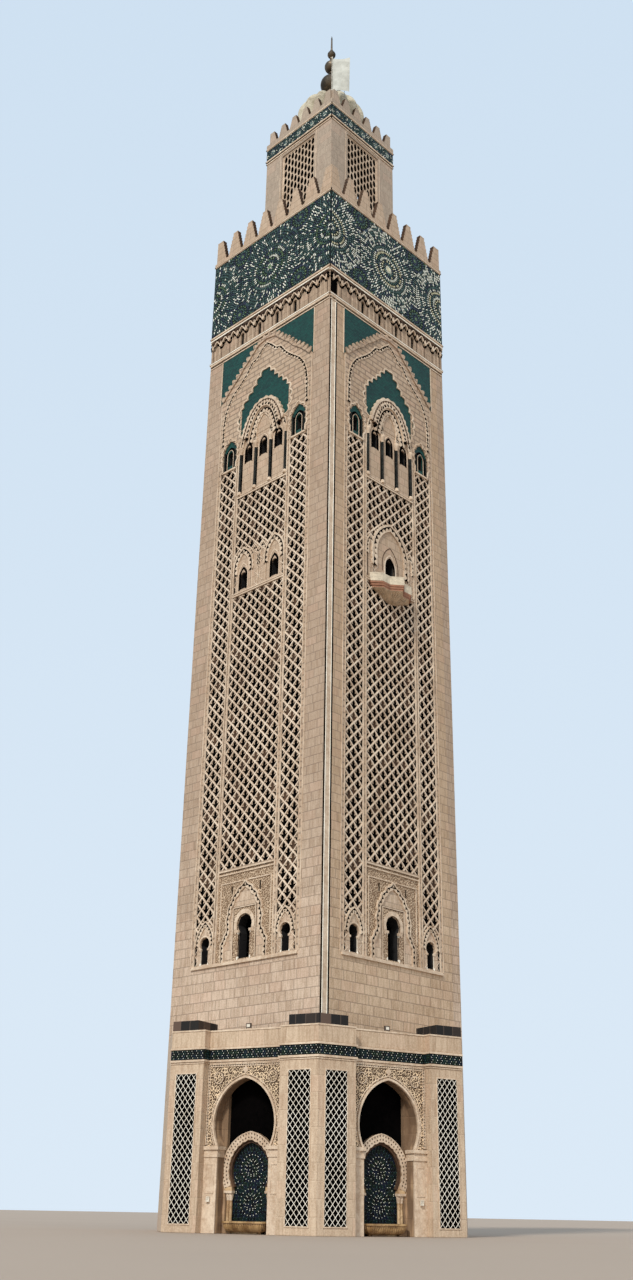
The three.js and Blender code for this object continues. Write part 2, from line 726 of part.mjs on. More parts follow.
piece(minaret, 'gallery', gallery(), 'carved_stone');
piece(minaret, 'tile_band', squareRing(TILE_HALF, INNER, GALLERY_TOP + GAP, TILE_TOP), 'tile');
piece(minaret, 'crenellation', crenellation(MAIN_MERLONS, MERLON_WIDTH, TILE_TOP + GAP), 'travertine');

const floorHalf = INNER - GAP;
for (const [name, top] of Object.entries(FLOOR_TOPS)) {
  const slab = block(-floorHalf, floorHalf, -floorHalf, floorHalf, top - FLOOR, top);
  piece(minaret, name, slab, 'inner_stone');
}

// The base is modelled at the near corner, and its other half is the same turned by half a turn
const HALVES = [
  { names: ['front', 'right'], corner: 'near', turn: 0 },
  { names: ['back', 'left'], corner: 'far', turn: Math.PI },
];
for (const { names, corner, turn } of HALVES) {
  const group = new THREE.Group();
  group.rotation.z = turn;
  minaret.add(group);
  piece(group, `${corner}_corner_pier`, cornerPier(), 'travertine');
  piece(group, `${corner}_corner_screen`, cornerScreen(), 'screen');
  names.forEach((name, index) => {
    const hand = index === 0 ? 1 : -1;
    piece(group, `${name}_outer_pier`, outerPier(hand), 'travertine');
    piece(group, `${name}_outer_screen`, outerScreen(hand), 'screen');
    piece(group, `${name}_fountain_bay`, fountainBay(hand), 'carved_stone');
    piece(group, `${name}_fountain_basin`, basin(hand), 'marble');
  });
}

piece(minaret, 'lantern_walls', lanternWalls(), 'travertine');
const lanternBand = squareRing(
  LANTERN_BAND_HALF,
  LANTERN_BAND_INNER,
  LANTERN_WALL_TOP + GAP,
  LANTERN_BAND_TOP,
);
piece(minaret, 'lantern_tile_band', lanternBand, 'tile');
const roofHalf = LANTERN_MERLONS.half;
const roofFoot = LANTERN_BAND_TOP + GAP;
const lanternRoof = block(-roofHalf, roofHalf, -roofHalf, roofHalf, roofFoot, LANTERN_SLAB_TOP);
piece(minaret, 'lantern_roof', lanternRoof, 'travertine');
const lanternCrown = crenellation(LANTERN_MERLONS, LANTERN_MERLON_WIDTH, LANTERN_SLAB_TOP + GAP);
piece(minaret, 'lantern_crenellation', lanternCrown, 'travertine');
piece(minaret, 'dome', dome(), 'dome_stone');
piece(minaret, 'finial', finial(), 'bronze');

const poleGroup = new THREE.Group();
poleGroup.position.set(POLE.at, -POLE.at, 0);
poleGroup.rotation.z = THREE.MathUtils.degToRad(FLAG.turn);
minaret.add(poleGroup);
const poleLength = POLE.top - LANTERN_SLAB_TOP - GAP;
const poleGeometry = new THREE.CylinderGeometry(POLE.radius, POLE.radius, poleLength, POLE.sides);
poleGeometry.rotateX(Math.PI / 2).translate(0, 0, LANTERN_SLAB_TOP + GAP + poleLength / 2);
piece(poleGroup, 'flagpole', poleGeometry, 'pole_metal');
piece(poleGroup, 'flag', flag(), 'cloth');

export default minaret;
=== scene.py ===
"""Looks of a one to ten scale model of a square stone minaret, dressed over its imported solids.

Shapes are worked out at full size, in the frame of one side: across, up and out from its face. A Place then
sets them on the model at one tenth of that size.
"""

import logging
import math
from collections.abc import Sequence
from dataclasses import dataclass, field
from enum import Enum

import bmesh
import bpy
import numpy as np
from mathutils import Matrix, Vector


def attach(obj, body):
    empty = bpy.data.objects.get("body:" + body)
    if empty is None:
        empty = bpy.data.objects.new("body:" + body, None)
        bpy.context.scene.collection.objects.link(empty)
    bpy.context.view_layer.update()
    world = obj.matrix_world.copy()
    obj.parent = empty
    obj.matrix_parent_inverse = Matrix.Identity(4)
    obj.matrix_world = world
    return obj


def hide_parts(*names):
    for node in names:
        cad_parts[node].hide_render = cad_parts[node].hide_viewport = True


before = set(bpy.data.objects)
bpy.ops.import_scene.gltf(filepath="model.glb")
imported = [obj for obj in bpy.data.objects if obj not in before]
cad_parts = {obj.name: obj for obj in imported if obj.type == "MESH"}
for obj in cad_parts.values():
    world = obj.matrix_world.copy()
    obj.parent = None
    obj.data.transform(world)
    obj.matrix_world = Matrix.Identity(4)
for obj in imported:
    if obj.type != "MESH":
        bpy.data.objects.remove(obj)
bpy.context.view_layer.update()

Array = np.ndarray
Colour = tuple[float, float, float]
SCALE = 0.1
ARC_POINTS = 24
HALF = 12.5
BAND_HALF = 12.62
ROOF = 138.6
LANTERN_HALF = 7.39
LANTERN_BAND_HALF = 7.45
LANTERN_ROOF = 161.2
BASE_VERTEX = 19.3 / math.sqrt(2)
SPLAY = math.radians(15)
log = logging.getLogger("minaret")


def stain(red: int, green: int, blue: int) -> Colour:
    """A colour given in screen values from 0 to 255, in the linear values that shaders take.

    Args:
        red: How red it is.
        green: How green it is.
        blue: How blue it is.

    Returns:
        The three linear values.
    """
    shares = (np.array([red, green, blue]) / 255.0).astype(float)
    linear = np.where(shares <= 0.04045, shares / 12.92, ((shares + 0.055) / 1.055) ** 2.4)
    return tuple(float(share) for share in linear)


# Shader maths


class Value:
    """A socket of a shader on which sums can be written."""

    def __init__(self, shader: "Shader", socket: bpy.types.NodeSocket) -> None:
        """Keeps the shader and the socket of a node."""
        self.shader = shader
        self.socket = socket

    def __add__(self, other: "Value | float") -> "Value":
        """The sum."""
        return self.shader.math("ADD", self, other)

    __radd__ = __add__

    def __sub__(self, other: "Value | float") -> "Value":
        """The difference."""
        return self.shader.math("SUBTRACT", self, other)

    def __rsub__(self, other: "Value | float") -> "Value":
        """The difference from a number."""
        return self.shader.math("SUBTRACT", other, self)

    def __mul__(self, other: "Value | float") -> "Value":
        """The product."""
        return self.shader.math("MULTIPLY", self, other)

    __rmul__ = __mul__

    def __truediv__(self, other: "Value | float") -> "Value":
        """The quotient."""
        return self.shader.math("DIVIDE", self, other)

    def floor(self) -> "Value":
        """The whole number below."""
        return self.shader.math("FLOOR", self)

    def fraction(self) -> "Value":
        """What is left over the whole number below."""
        return self.shader.math("FRACT", self)

    def size(self) -> "Value":
        """The value without its sign."""
        return self.shader.math("ABSOLUTE", self)

    def sine(self) -> "Value":
        """The sine of an angle in radians."""
        return self.shader.math("SINE", self)

    def least(self, other: "Value | float") -> "Value":
        """The smaller of two values."""
        return self.shader.math("MINIMUM", self, other)

    def over(self, other: "Value | float") -> "Value":
        """1 where the value is above the other, and 0 elsewhere."""
        return self.shader.math("GREATER_THAN", self, other)

    def edge_distance(self, pitch: float) -> "Value":
        """Distance to the nearest line of a row of lines, where the value counts pitches."""
        share = self.fraction()
        return share.least(1 - share) * pitch

    def ramp(self, low: float, high: float, start: float = 0.0, end: float = 1.0) -> "Value":
        """A smooth step from start, at low and below, to end, at high and above.

        Args:
            low: The value that gives start.
            high: The value that gives end.
            start: What low becomes.
            end: What high becomes.

        Returns:
            The new value.
        """
        settings = {"interpolation_type": "SMOOTHSTEP"}
        links = {"Value": self, "From Min": low, "From Max": high, "To Min": start, "To Max": end}
        return self.shader.node("ShaderNodeMapRange", settings, links)


class Shader:
    """The node tree of one material."""

    def __init__(self, name: str) -> None:
        """Makes a material with one shader in it.

        Args:
            name: Name of the material.
        """
        self.material = bpy.data.materials.new(name)
        self.material.use_nodes = True
        self.tree = self.material.node_tree
        self.tree.nodes.clear()
        self.body = self.tree.nodes.new("ShaderNodeBsdfPrincipled")
        output = self.tree.nodes.new("ShaderNodeOutputMaterial")
        self.tree.links.new(self.body.outputs[0], output.inputs["Surface"])

    def node(
        self, kind: str, settings: dict | None = None, links: dict | None = None, output: str | int = 0
    ) -> Value:
        """Adds a node.

        Args:
            kind: Blender's name of the node.
            settings: Its own properties, which are set first.
            links: Values or other nodes for its sockets, by name or number.
            output: The socket that is given back.

        Returns:
            The chosen output.
        """
        made = self.tree.nodes.new(kind)
        for key, value in (settings or {}).items():
            setattr(made, key, value)
        for key, value in (links or {}).items():
            self.feed(made.inputs[key], value)
        return Value(self, made.outputs[output])

    def feed(self, socket: bpy.types.NodeSocket, value: "Value | float | Sequence[float]") -> None:
        """Links a value to a socket, or sets a number or colour on it.

        Args:
            socket: The input that is fed.
            value: A value, a number or a colour.
        """
        if isinstance(value, Value):
            self.tree.links.new(value.socket, socket)
        elif isinstance(value, (int, float)):
            socket.default_value = value
        else:
            room = len(socket.default_value)
            socket.default_value = (tuple(value) + (1.0,))[:room]

    def math(self, operation: str, *values: Value | float) -> Value:
        """One sum on one or two values."""
        return self.node("ShaderNodeMath", {"operation": operation}, dict(enumerate(values)))

    def vector(self, operation: str, *values: object, output: int = 0) -> Value:
        """One sum on vectors."""
        return self.node("ShaderNodeVectorMath", {"operation": operation}, dict(enumerate(values)), output)

    def mix(self, first: object, second: object, share: Value | float, blend: str = "MIX") -> Value:
        """Mixes two colours by a share of the second."""
        settings = {"data_type": "RGBA", "blend_type": blend}
        return self.node("ShaderNodeMix", settings, {0: share, 6: first, 7: second}, 2)

    def at(self) -> Value:
        """The place on the object at full size, in metres.

        Returns:
            The place, as a vector.
        """
        here = self.node("ShaderNodeTexCoord", output="Object")
        grown = self.vector("SCALE", here)
        grown.socket.node.inputs["Scale"].default_value = 1 / SCALE
        return grown

    def part(self, vector: Value, axis: str) -> Value:
        """One of the three parts of a vector."""
        return self.node("ShaderNodeSeparateXYZ", links={0: vector}, output=axis)

    def along_wall(self) -> tuple[Value, Value]:
        """Distances along an upright wall, whichever way it faces, and up it.

        Returns:
            How far along the wall, and how far up.
        """
        here = self.at()
        step = 0.01
        facing = self.node("ShaderNodeNewGeometry", output="True Normal")
        level = self.vector("NORMALIZE", self.vector("CROSS_PRODUCT", facing, (0.0, 0.0, 1.0)))
        level = self.vector("SNAP", self.vector("ADD", level, (step / 2,) * 3), (step,) * 3)
        return self.vector("DOT_PRODUCT", here, level, output=1), self.part(here, "Z")

    def indoors(self) -> Value:
        """1 well behind the outer faces of the shaft and the lantern, where the shade indoors is painted
        black, and 0 outside.

        Returns:
            The mask.
        """
        here = self.at()
        x, y, up = (self.part(here, axis) for axis in "XYZ")
        shaft, lantern = HALF - 0.205, LANTERN_HALF - 0.195
        inside = up.over(ROOF) * (lantern - shaft) - up.over(LANTERN_ROOF) * lantern + shaft
        return (inside - self.math("MAXIMUM", x.size(), y.size())).ramp(0.0, 0.1)

    def combine(self, x: Value | float, y: Value | float, z: Value | float = 0.0) -> Value:
        """A vector of three values."""
        return self.node("ShaderNodeCombineXYZ", links={0: x, 1: y, 2: z})

    def noise(self, where: Value, scale: float, detail: float = 3.0) -> Value:
        """Soft noise around 0.5."""
        return self.node("ShaderNodeTexNoise", links={"Vector": where, "Scale": scale, "Detail": detail})

    def cells(self, where: Value, pitch: float, spread: float, output: str, **settings: str) -> Value:
        """Cells round scattered points of a plane, whose spread is 0 in a square grid and 1 at random."""
        links = {"Vector": where, "Scale": 1 / pitch, "Randomness": spread}
        return self.node("ShaderNodeTexVoronoi", {"voronoi_dimensions": "2D", **settings}, links, output)

    def chance(self, where: Value) -> Value:
        """A different number from 0 to 1 for each place."""
        return self.node("ShaderNodeTexWhiteNoise", {"noise_dimensions": "3D"}, {"Vector": where})

    def bump(self, height: Value, strength: float, depth: float) -> None:
        """Feeds a height to the surface, with its depth at full size in metres."""
        links = {"Strength": strength, "Distance": depth * SCALE, "Height": height}
        self.feed(self.body.inputs["Normal"], self.node("ShaderNodeBump", links=links))

    def surface(self, colour: object, roughness: Value | float, **others: float) -> None:
        """Sets the shader's colour, roughness and other sockets, named with _ for a space.

        Args:
            colour: The base colour.
            roughness: How dull it is, from 0 to 1.
            others: Numbers for other sockets.
        """
        self.feed(self.body.inputs["Base Color"], colour)
        self.feed(self.body.inputs["Roughness"], roughness)
        for key, value in others.items():
            self.feed(self.body.inputs[key.replace("_", " ")], value)


# Finishes

# Painted shade: near black for the inside walls, where light does not reach.
UNLIT = (0.004, 0.003, 0.003)
ROSY = (0.62, 0.38, 0.27)
MORTAR = (0.13, 0.09, 0.065)
GROUT = (0.012, 0.025, 0.022)
GRIME = (0.05, 0.035, 0.025)
STAINED = (stain(112, 86, 62), stain(190, 156, 120))

@dataclass(frozen=True)
class Finish:
    """A finish that pieces and nodes can be dressed in."""

    name: str
    slot: str

    def dress(self, shader: Shader) -> None:
        """Lays out the shader."""
        raise NotImplementedError

    def material(self) -> bpy.types.Material:
        """The finish's material, made the first time that it is asked for.

        Returns:
            The material.
        """
        known = bpy.data.materials.get(self.name)
        if known is not None:
            return known
        shader = Shader(self.name)
        self.dress(shader)
        return shader.material


@dataclass(frozen=True)
class Toned(Finish):
    """A finish whose tones run from deep to pale."""

    pale: Colour
    deep: Colour

    def blend(self, shader: Shader, share: Value | float) -> Value:
        """The colour at a share of the way from deep to pale."""
        return shader.mix(self.deep, self.pale, share)


@dataclass(frozen=True)
class Ashlar(Toned):
    """Sawn stone in courses, each block with its own tone and upright veins."""

    course: float = 1.12
    block: float = 1.95
    tone: float = 0.14
    joint: float = 0.5
    gap: float = 0.075
    foot_light: tuple[float, float] = (22.0, 62.0)

    def dress(self, shader: Shader) -> None:
        """The wall's own tones, with the shade indoors painted black."""
        shader.surface(shader.mix(self.tones(shader), UNLIT, shader.indoors()), 0.85)

    def tones(self, shader: Shader) -> Value:
        """Blocks are counted along and up the wall; a joint is dark where either count is near whole.

        Args:
            shader: The material that is dressed.

        Returns:
            The colour of blocks and joints.
        """
        along, up = shader.along_wall()
        rows = up / self.course
        row = rows.floor()
        shift = shader.chance(shader.combine(row, 3.1, 0.0)) * 0.5 + (row * 0.5).fraction()
        blocks = along / self.block + shift
        own, second = (shader.chance(shader.combine(blocks.floor(), row, seed)) for seed in (7.0, 19.0))
        joints = rows.edge_distance(self.course).least(blocks.edge_distance(self.block))
        joint = joints.ramp(0.02, self.gap, 1.0, 0.0)
        veins = shader.noise(shader.combine(along * 3.6 + own * 40.0, up * 0.5, second * 9.0), 1.0, 4.0)
        clouds = shader.noise(shader.at(), 0.09)
        grain = shader.noise(shader.at(), 6.0)
        tone = (own - 0.5) * self.tone + (veins - 0.5) * 0.9 + (clouds - 0.5) * 0.4
        tone = tone + (grain - 0.5) * 0.7 + 0.5
        colour = self.blend(shader, tone.ramp(0.1, 0.9) * up.ramp(*self.foot_light, 1.0, 0.56))
        rosy = shader.mix(colour, ROSY, second.ramp(0.7, 1.0, 0.0, 0.16))
        shader.bump(grain * 0.25 + veins * 0.2 - joint, 0.5, 0.03)
        return shader.mix(rosy, MORTAR, joint * self.joint)


@dataclass(frozen=True)
class Carved(Toned):
    """Stone cut by hand, with dust and grain."""

    grain: float = 5.0
    rough: float = 0.85
    shine: float = 0.5

    def dress(self, shader: Shader) -> None:
        """Colour follows soft noise at three sizes, and the bump is the finest of them.

        Args:
            shader: The material that is dressed.
        """
        here = shader.at()
        clouds = shader.noise(here, 0.25)
        marks = shader.noise(here, 1.7, 4.0)
        grain = shader.noise(here, self.grain)
        tone = (clouds - 0.5) * 0.9 + (marks - 0.5) * 0.8 + (grain - 0.5) * 0.6 + 0.5
        colour = self.blend(shader, tone.ramp(0.15, 0.85))
        shader.surface(colour, self.rough, Specular_IOR_Level=self.shine)
        shader.bump(grain + marks, 0.4, 0.03)


@dataclass(frozen=True)
class BayStone(Ashlar):
    """Sawn stone on the front of a bay of the base, turning brown and stained behind it, under the arches."""

    out: tuple[float, float, float] = (0.0, -1.0, 0.0)
    face: float = BASE_VERTEX * (math.sin(SPLAY) + math.cos(SPLAY))
    roof: float = 17.2

    def dress(self, shader: Shader) -> None:
        """Depth behind the wing's face gives the share of the stained stone, below the roof.

        Args:
            shader: The material that is dressed.
        """
        here = shader.at()
        depth = self.face - shader.vector("DOT_PRODUCT", here, self.out, output=1)
        up = shader.part(here, "Z")
        share = depth.ramp(1.12, 1.3) * (1 - up.over(self.roof))
        streak = shader.noise(shader.vector("MULTIPLY", here, (1.6, 1.6, 0.12)), 1.0)
        foul = (streak + shader.noise(here, 0.35) - up * 0.03).ramp(0.7, 1.1)
        shader.surface(shader.mix(self.tones(shader), shader.mix(*STAINED, foul), share * 0.92), 0.88)


@dataclass(frozen=True)
class Storeyed(Finish):
    """Stone whose tone changes at two levels: stained below, reddish between them and pale above."""

    levels: tuple[float, float]
    tints: tuple[Colour, Colour, Colour]

    def dress(self, shader: Shader) -> None:
        """Noise shades each tint, and the levels are read from the height.

        Args:
            shader: The material that is dressed.
        """
        here = shader.at()
        up = shader.part(here, "Z")
        marks = shader.noise(here, 1.7, 4.0) * 0.6 + shader.noise(here, 7.0) * 0.4
        lower = shader.mix(self.tints[0], self.tints[1], up.over(self.levels[0]))
        tint = shader.mix(lower, self.tints[2], up.over(self.levels[1]))
        shader.surface(shader.mix(tint, GRIME, marks.ramp(0.35, 0.75, 0.0, 0.5)), 0.86)
        shader.bump(marks, 0.4, 0.03)


@dataclass(frozen=True)
class Scrollwork(Toned):
    """A ground carved all over with small scrolls."""

    pitch: float = 0.46

    def dress(self, shader: Shader) -> None:
        """Scrolls are rings round scattered points, bent by noise; the ridges are pale and the cuts dark.

        Args:
            shader: The material that is dressed.
        """
        along, up = shader.along_wall()
        flat = shader.combine(along, up, 0.0)
        bend = shader.noise(flat, 1.5 / self.pitch, 2.0)
        bent = shader.combine(along + (bend - 0.5) * self.pitch, up - (bend - 0.5) * self.pitch, 0.0)
        far = shader.cells(bent, self.pitch, 0.55, "Distance", feature="F1")
        rings = (far * 15.0 + bend * 4.0).sine()
        ridge = rings.ramp(-0.35, 0.35)
        clouds = shader.noise(shader.at(), 0.5)
        pale = self.blend(shader, clouds.ramp(0.2, 0.6, 0.55, 1.0))
        shader.surface(shader.mix(self.deep, pale, ridge), 0.88)
        shader.bump(ridge, 0.9, 0.12)


@dataclass(frozen=True)
class GlazedField(Toned):
    """Plain glazed tiles in one colour, in fine level rows."""

    tile: float = 0.42
    row: float = 0.6

    def dress(self, shader: Shader) -> None:
        """Each tile has its own tone, and the joints are dull and dark.

        Args:
            shader: The material that is dressed.
        """
        along, up = shader.along_wall()
        course = self.tile * self.row
        rows = up / course
        tiles = along / self.tile + (rows.floor() * 0.5).fraction()
        own = shader.chance(shader.combine(tiles.floor(), rows.floor(), 2.0))
        edge = rows.edge_distance(course).least(tiles.edge_distance(self.tile))
        joint = edge.ramp(0.006, 0.03, 1.0, 0.0)
        clouds = shader.noise(shader.at(), 0.35, 2.0)
        colour = self.blend(shader, (own * 0.6 + clouds * 0.6).ramp(0.1, 1.0))
        colour = shader.mix(colour, GROUT, joint * 0.6)
        shader.surface(colour, joint * 0.3 + 0.5, Specular_IOR_Level=0.25)
        shader.bump(own * 0.3 - joint, 0.35, 0.02)


@dataclass(frozen=True)
class CutTile(Finish):
    """The ground of cut tilework: small angular tiles of several dark colours with fine pale joints."""

    colours: tuple[Colour, ...]
    pitch: float = 0.34
    spread: float = 0.35
    pale: Colour = (0.3, 0.33, 0.29)
    pale_share: float = 0.05

    def dress(self, shader: Shader) -> None:
        """Tiles are the cells round scattered points, each with a colour by chance.

        Args:
            shader: The material that is dressed.
        """
        along, up = shader.along_wall()
        flat = shader.combine(along, up, 0.0)
        cell = shader.cells(flat, self.pitch, self.spread, "Color", distance="MANHATTAN")
        own = shader.node("ShaderNodeSeparateColor", links={0: cell}, output=0)
        edge = shader.cells(flat, self.pitch, self.spread, "Distance", feature="DISTANCE_TO_EDGE")
        colour: object = self.colours[0]
        for number, tint in enumerate(self.colours[1:], 1):
            colour = shader.mix(colour, tint, own.over(number / len(self.colours)))
        line = edge.ramp(0.02, 0.09, 1.0, 0.0)
        colour = shader.mix(colour, self.pale, line * self.pale_share)
        shader.surface(colour, line * 0.2 + 0.55, Specular_IOR_Level=0.1)
        shader.bump(own * 0.4 - line, 0.4, 0.02)


@dataclass(frozen=True)
class Glaze(Toned):
    """One colour of glaze on small raised tiles."""

    def dress(self, shader: Shader) -> None:
        """The tone shifts from tile to tile with noise of about their size.

        Args:
            shader: The material that is dressed.
        """
        here = shader.at()
        tone = shader.noise(here, 1.9, 1.0) * 0.7 + shader.noise(here, 9.0, 2.0) * 0.3
        shader.surface(self.blend(shader, tone.ramp(0.35, 0.65)), 0.42)
        shader.bump(tone, 0.2, 0.02)


@dataclass(frozen=True)
class VeinedMarble(Toned):
    """Polished marble with wandering veins."""

    vein: Colour
    pitch: float = 0.8
    rough: float = 0.25
    shine: float = 0.5

    def dress(self, shader: Shader) -> None:
        """A vein runs where bent noise passes through its middle value.

        Args:
            shader: The material that is dressed.
        """
        here = shader.at()
        bent = shader.noise(here, 1 / self.pitch, 5.0)
        vein = (bent - 0.5).size().ramp(0.0, 0.03, 1.0, 0.0)
        clouds = shader.noise(here, 0.6 / self.pitch)
        colour = self.blend(shader, clouds.ramp(0.3, 0.7))
        colour = shader.mix(colour, self.vein, vein * 0.6)
        shader.surface(colour, vein * 0.15 + self.rough, Specular_IOR_Level=self.shine)
        shader.bump(clouds, 0.1, 0.02)


@dataclass(frozen=True)
class Metal(Toned):
    """Weathered metal or paint on metal."""

    metallic: float
    rough: float = 0.45

    def dress(self, shader: Shader) -> None:
        """Patina gathers with noise, and is rougher than the bare metal.

        Args:
            shader: The material that is dressed.
        """
        here = shader.at()
        patina = (shader.noise(here, 0.8, 4.0) * 0.7 + shader.noise(here, 7.0) * 0.3).ramp(0.35, 0.65)
        colour = shader.mix(self.pale, self.deep, patina)
        shader.surface(colour, patina * 0.25 + self.rough, Metallic=self.metallic)
        shader.bump(patina, 0.2, 0.01)


@dataclass(frozen=True)
class Weave(Toned):
    """Thin woven cloth with a little sheen."""

    thread: float = 0.05

    def dress(self, shader: Shader) -> None:
        """Warp and weft are two rows of lines along the cloth's own map.

        Args:
            shader: The material that is dressed.
        """
        own = shader.node("ShaderNodeUVMap", {"uv_map": "cloth"})
        along, down = (shader.part(own, axis) / self.thread for axis in "XY")
        weave = along.edge_distance(1.0) + down.edge_distance(1.0)
        clouds = shader.noise(shader.at(), 0.7)
        tone = clouds.ramp(0.3, 0.7) * 0.7 + weave * 0.3
        shader.surface(self.blend(shader, tone), 0.85, Sheen_Weight=0.3)
        shader.bump(weave, 0.3, 0.01)


@dataclass(frozen=True)
class StillWater(Toned):
    """Still water in a basin."""

    def dress(self, shader: Shader) -> None:
        """Slight ripples in the surface, over a dark body.

        Args:
            shader: The material that is dressed.
        """
        here = shader.at()
        ripple = shader.noise(here, 2.4, 2.0)
        shader.surface(self.blend(shader, ripple.ramp(0.3, 0.8)), 0.06)
        shader.bump(ripple, 0.25, 0.03)


ASHLAR = Ashlar("sawn_travertine", "travertine", stain(212, 190, 168), stain(160, 134, 110))
SHAFT_STONE = Ashlar("shaft_travertine", "travertine", stain(202, 181, 159), stain(152, 127, 104))
# Painted light: the right and left walls are a little warmer, for the warm light on that side.
WARM_LIT_STONE = Ashlar("warm_lit_travertine", "travertine", stain(213, 188, 160), stain(162, 134, 105))
PLAIN_STONE = Ashlar("plain_travertine", "travertine", stain(212, 190, 166), stain(166, 140, 114), joint=0.4)
MOULDED = Carved("moulded_travertine", "carved_stone", stain(220, 200, 176), stain(180, 154, 128))
LATTICE_STONE = Carved("lattice_travertine", "carved_stone", stain(232, 214, 192), stain(188, 164, 140))
LATTICE_PLATE = Carved("sunk_travertine", "carved_stone", stain(198, 176, 152), stain(150, 126, 102))
# Painted shade: the near-black finish stands for deep shade in pits, holes, gaps and recesses, and the brown
# one for softer shade in hollows, under arches and on unlit sides.
PAINTED_BLACK_SHADE = Carved("painted_black_shade", "inner_stone", stain(8, 6, 6), stain(2, 2, 2), rough=1.0, shine=0.02)
PAINTED_BROWN_SHADE = Carved("painted_brown_shade", "inner_stone", stain(92, 68, 50), stain(50, 37, 29), shine=0.2)
SCROLLS = Scrollwork("scroll_carving", "carved_stone", stain(214, 188, 158), stain(122, 94, 68))
SPANDREL_SCROLLS = Scrollwork("spandrel_carving", "carved_stone", stain(236, 208, 172), stain(72, 50, 32))
FINE_ROWS = Ashlar(
    "fine_rows", "travertine", stain(214, 192, 168), stain(160, 134, 108),
    course=0.8, block=2.2, tone=0.12, joint=0.66, gap=0.17,
)
PIER_STONE = Ashlar(
    "pier_travertine", "travertine", stain(208, 186, 160), stain(166, 140, 114),
    course=1.7, block=3.4, tone=0.1, joint=0.08,
)
GALLERY_STONE = Ashlar(
    "gallery_travertine", "travertine", stain(194, 171, 146), stain(142, 118, 95), joint=0.4
)
LANTERN_STONE = Ashlar(
    "lantern_travertine", "travertine", stain(201, 182, 160), stain(146, 129, 112),
    course=1.4, block=2.4, tone=0.1, joint=0.2,
)
PALE_STONE = Carved("pale_travertine", "carved_stone", stain(250, 244, 230), stain(226, 216, 198))
BALCONY_STONE = Storeyed(
    "balcony_stone", "carved_stone", (76.72, 77.52),
    (stain(204, 178, 148), stain(160, 112, 86), stain(214, 200, 176)),
)
# Painted shade: the floors inside are near black, for the unlit rooms seen through the windows.
SHADED_INNER_STONE = Carved("shaded_inner_masonry", "inner_stone", stain(46, 38, 32), stain(26, 22, 20))
GREEN_FIELD = GlazedField("green_glaze", "tile", stain(4, 68, 60), stain(0, 44, 42))
TILE_GROUND = CutTile(
    "cut_tile_ground", "tile",
    (stain(8, 14, 16), stain(9, 28, 28), stain(13, 21, 37), stain(20, 32, 20), stain(7, 9, 11)),
)
WHITE_GLAZE = Glaze("white_glaze", "tile", stain(250, 248, 232), stain(204, 208, 188))
TEAL_GLAZE = Glaze("teal_glaze", "tile", stain(70, 102, 92), stain(20, 50, 48))
BLUE_GLAZE = Glaze("blue_glaze", "tile", stain(24, 38, 72), stain(9, 16, 38))
LEAF_GLAZE = Glaze("leaf_glaze", "tile", stain(106, 130, 78), stain(50, 82, 46))
GOLD_GLAZE = Glaze("gold_glaze", "tile", stain(230, 224, 184), stain(184, 176, 136))
BASIN_MARBLE = VeinedMarble(
    "golden_marble", "marble", stain(186, 152, 106), stain(128, 96, 58), stain(84, 56, 32), rough=0.4
)
DARK_MARBLE = VeinedMarble(
    "dark_marble", "marble", stain(34, 36, 33), stain(14, 16, 16), stain(70, 72, 66), rough=0.7, shine=0.1
)
CREAM_MARBLE = VeinedMarble(
    "cream_marble", "marble", stain(212, 184, 144), stain(166, 132, 94), stain(120, 88, 58), rough=0.4
)
SCREEN_PAINT = Ashlar(
    "black_paint", "screen", stain(24, 19, 16), stain(11, 9, 8), course=60.0, block=1.25, tone=0.3, joint=0.5
)
LAMP_METAL = Metal("lamp_metal", "pole_metal", stain(236, 228, 212), stain(196, 186, 168), 0.0, 0.5)
BRONZE = Metal("dark_bronze", "bronze", stain(110, 96, 78), stain(58, 52, 44), 0.75, 0.42)
POLE_METAL = Metal("weathered_metal", "pole_metal", stain(190, 186, 174), stain(132, 126, 114), 0.6)
DOME_STONE = Carved("dome_render", "dome_stone", stain(203, 194, 172), stain(150, 139, 118), 3.0, 0.85, 0.2)
CLOTH = Weave("flag_cloth", "cloth", stain(208, 208, 198), stain(168, 168, 158))
WATER = StillWater("still_water", "marble", stain(58, 66, 56), stain(22, 28, 24))


# Surfaces


def resampled(path: Array, count: int) -> Array:
    """Points at even steps along a path.

    Args:
        path: Corners of the path, as rows of two numbers.
        count: Number of points wanted.

    Returns:
        The points, the first and last of them the path's own ends.
    """
    corners = np.asarray(path, float)
    run = np.concatenate([[0.0], np.cumsum(np.hypot(*np.diff(corners, axis=0).T))])
    stops = np.linspace(0.0, run[-1], count)
    return np.stack([np.interp(stops, run, corners[:, axis]) for axis in (0, 1)], 1)


def smooth(corners: Sequence[Sequence[float]], count: int) -> Array:
    """A path that passes smoothly through its corners, each span a cubic set by its four nearest corners.

    Args:
        corners: The points that it passes through.
        count: How many points it gets.

    Returns:
        The path, with its points evenly apart.
    """
    points = np.asarray(corners, float)
    padded = np.concatenate([[2 * points[0] - points[1]], points, [2 * points[-1] - points[-2]]])
    share = np.linspace(0.0, 1.0, 12, endpoint=False)[:, None]
    spans = []
    for start in range(len(points) - 1):
        a, b, c, d = padded[start:start + 4]
        spans.append(
            b + 0.5 * share * (c - a)
            + share**2 * (a - 2.5 * b + 2 * c - 0.5 * d)
            + share**3 * (-0.5 * a + 1.5 * b - 1.5 * c + 0.5 * d)
        )
    return resampled(np.concatenate([*spans, points[-1:]]), count)


def both_sides(right_half: Array) -> Array:
    """A path from its left foot to its right one, from its right half, which starts at the top.

    Args:
        right_half: The right half, from the top down.

    Returns:
        The whole path.
    """
    right = np.asarray(right_half, float)
    left = right[::-1] * np.array([-1.0, 1.0])
    return np.concatenate([left[:-1], right])


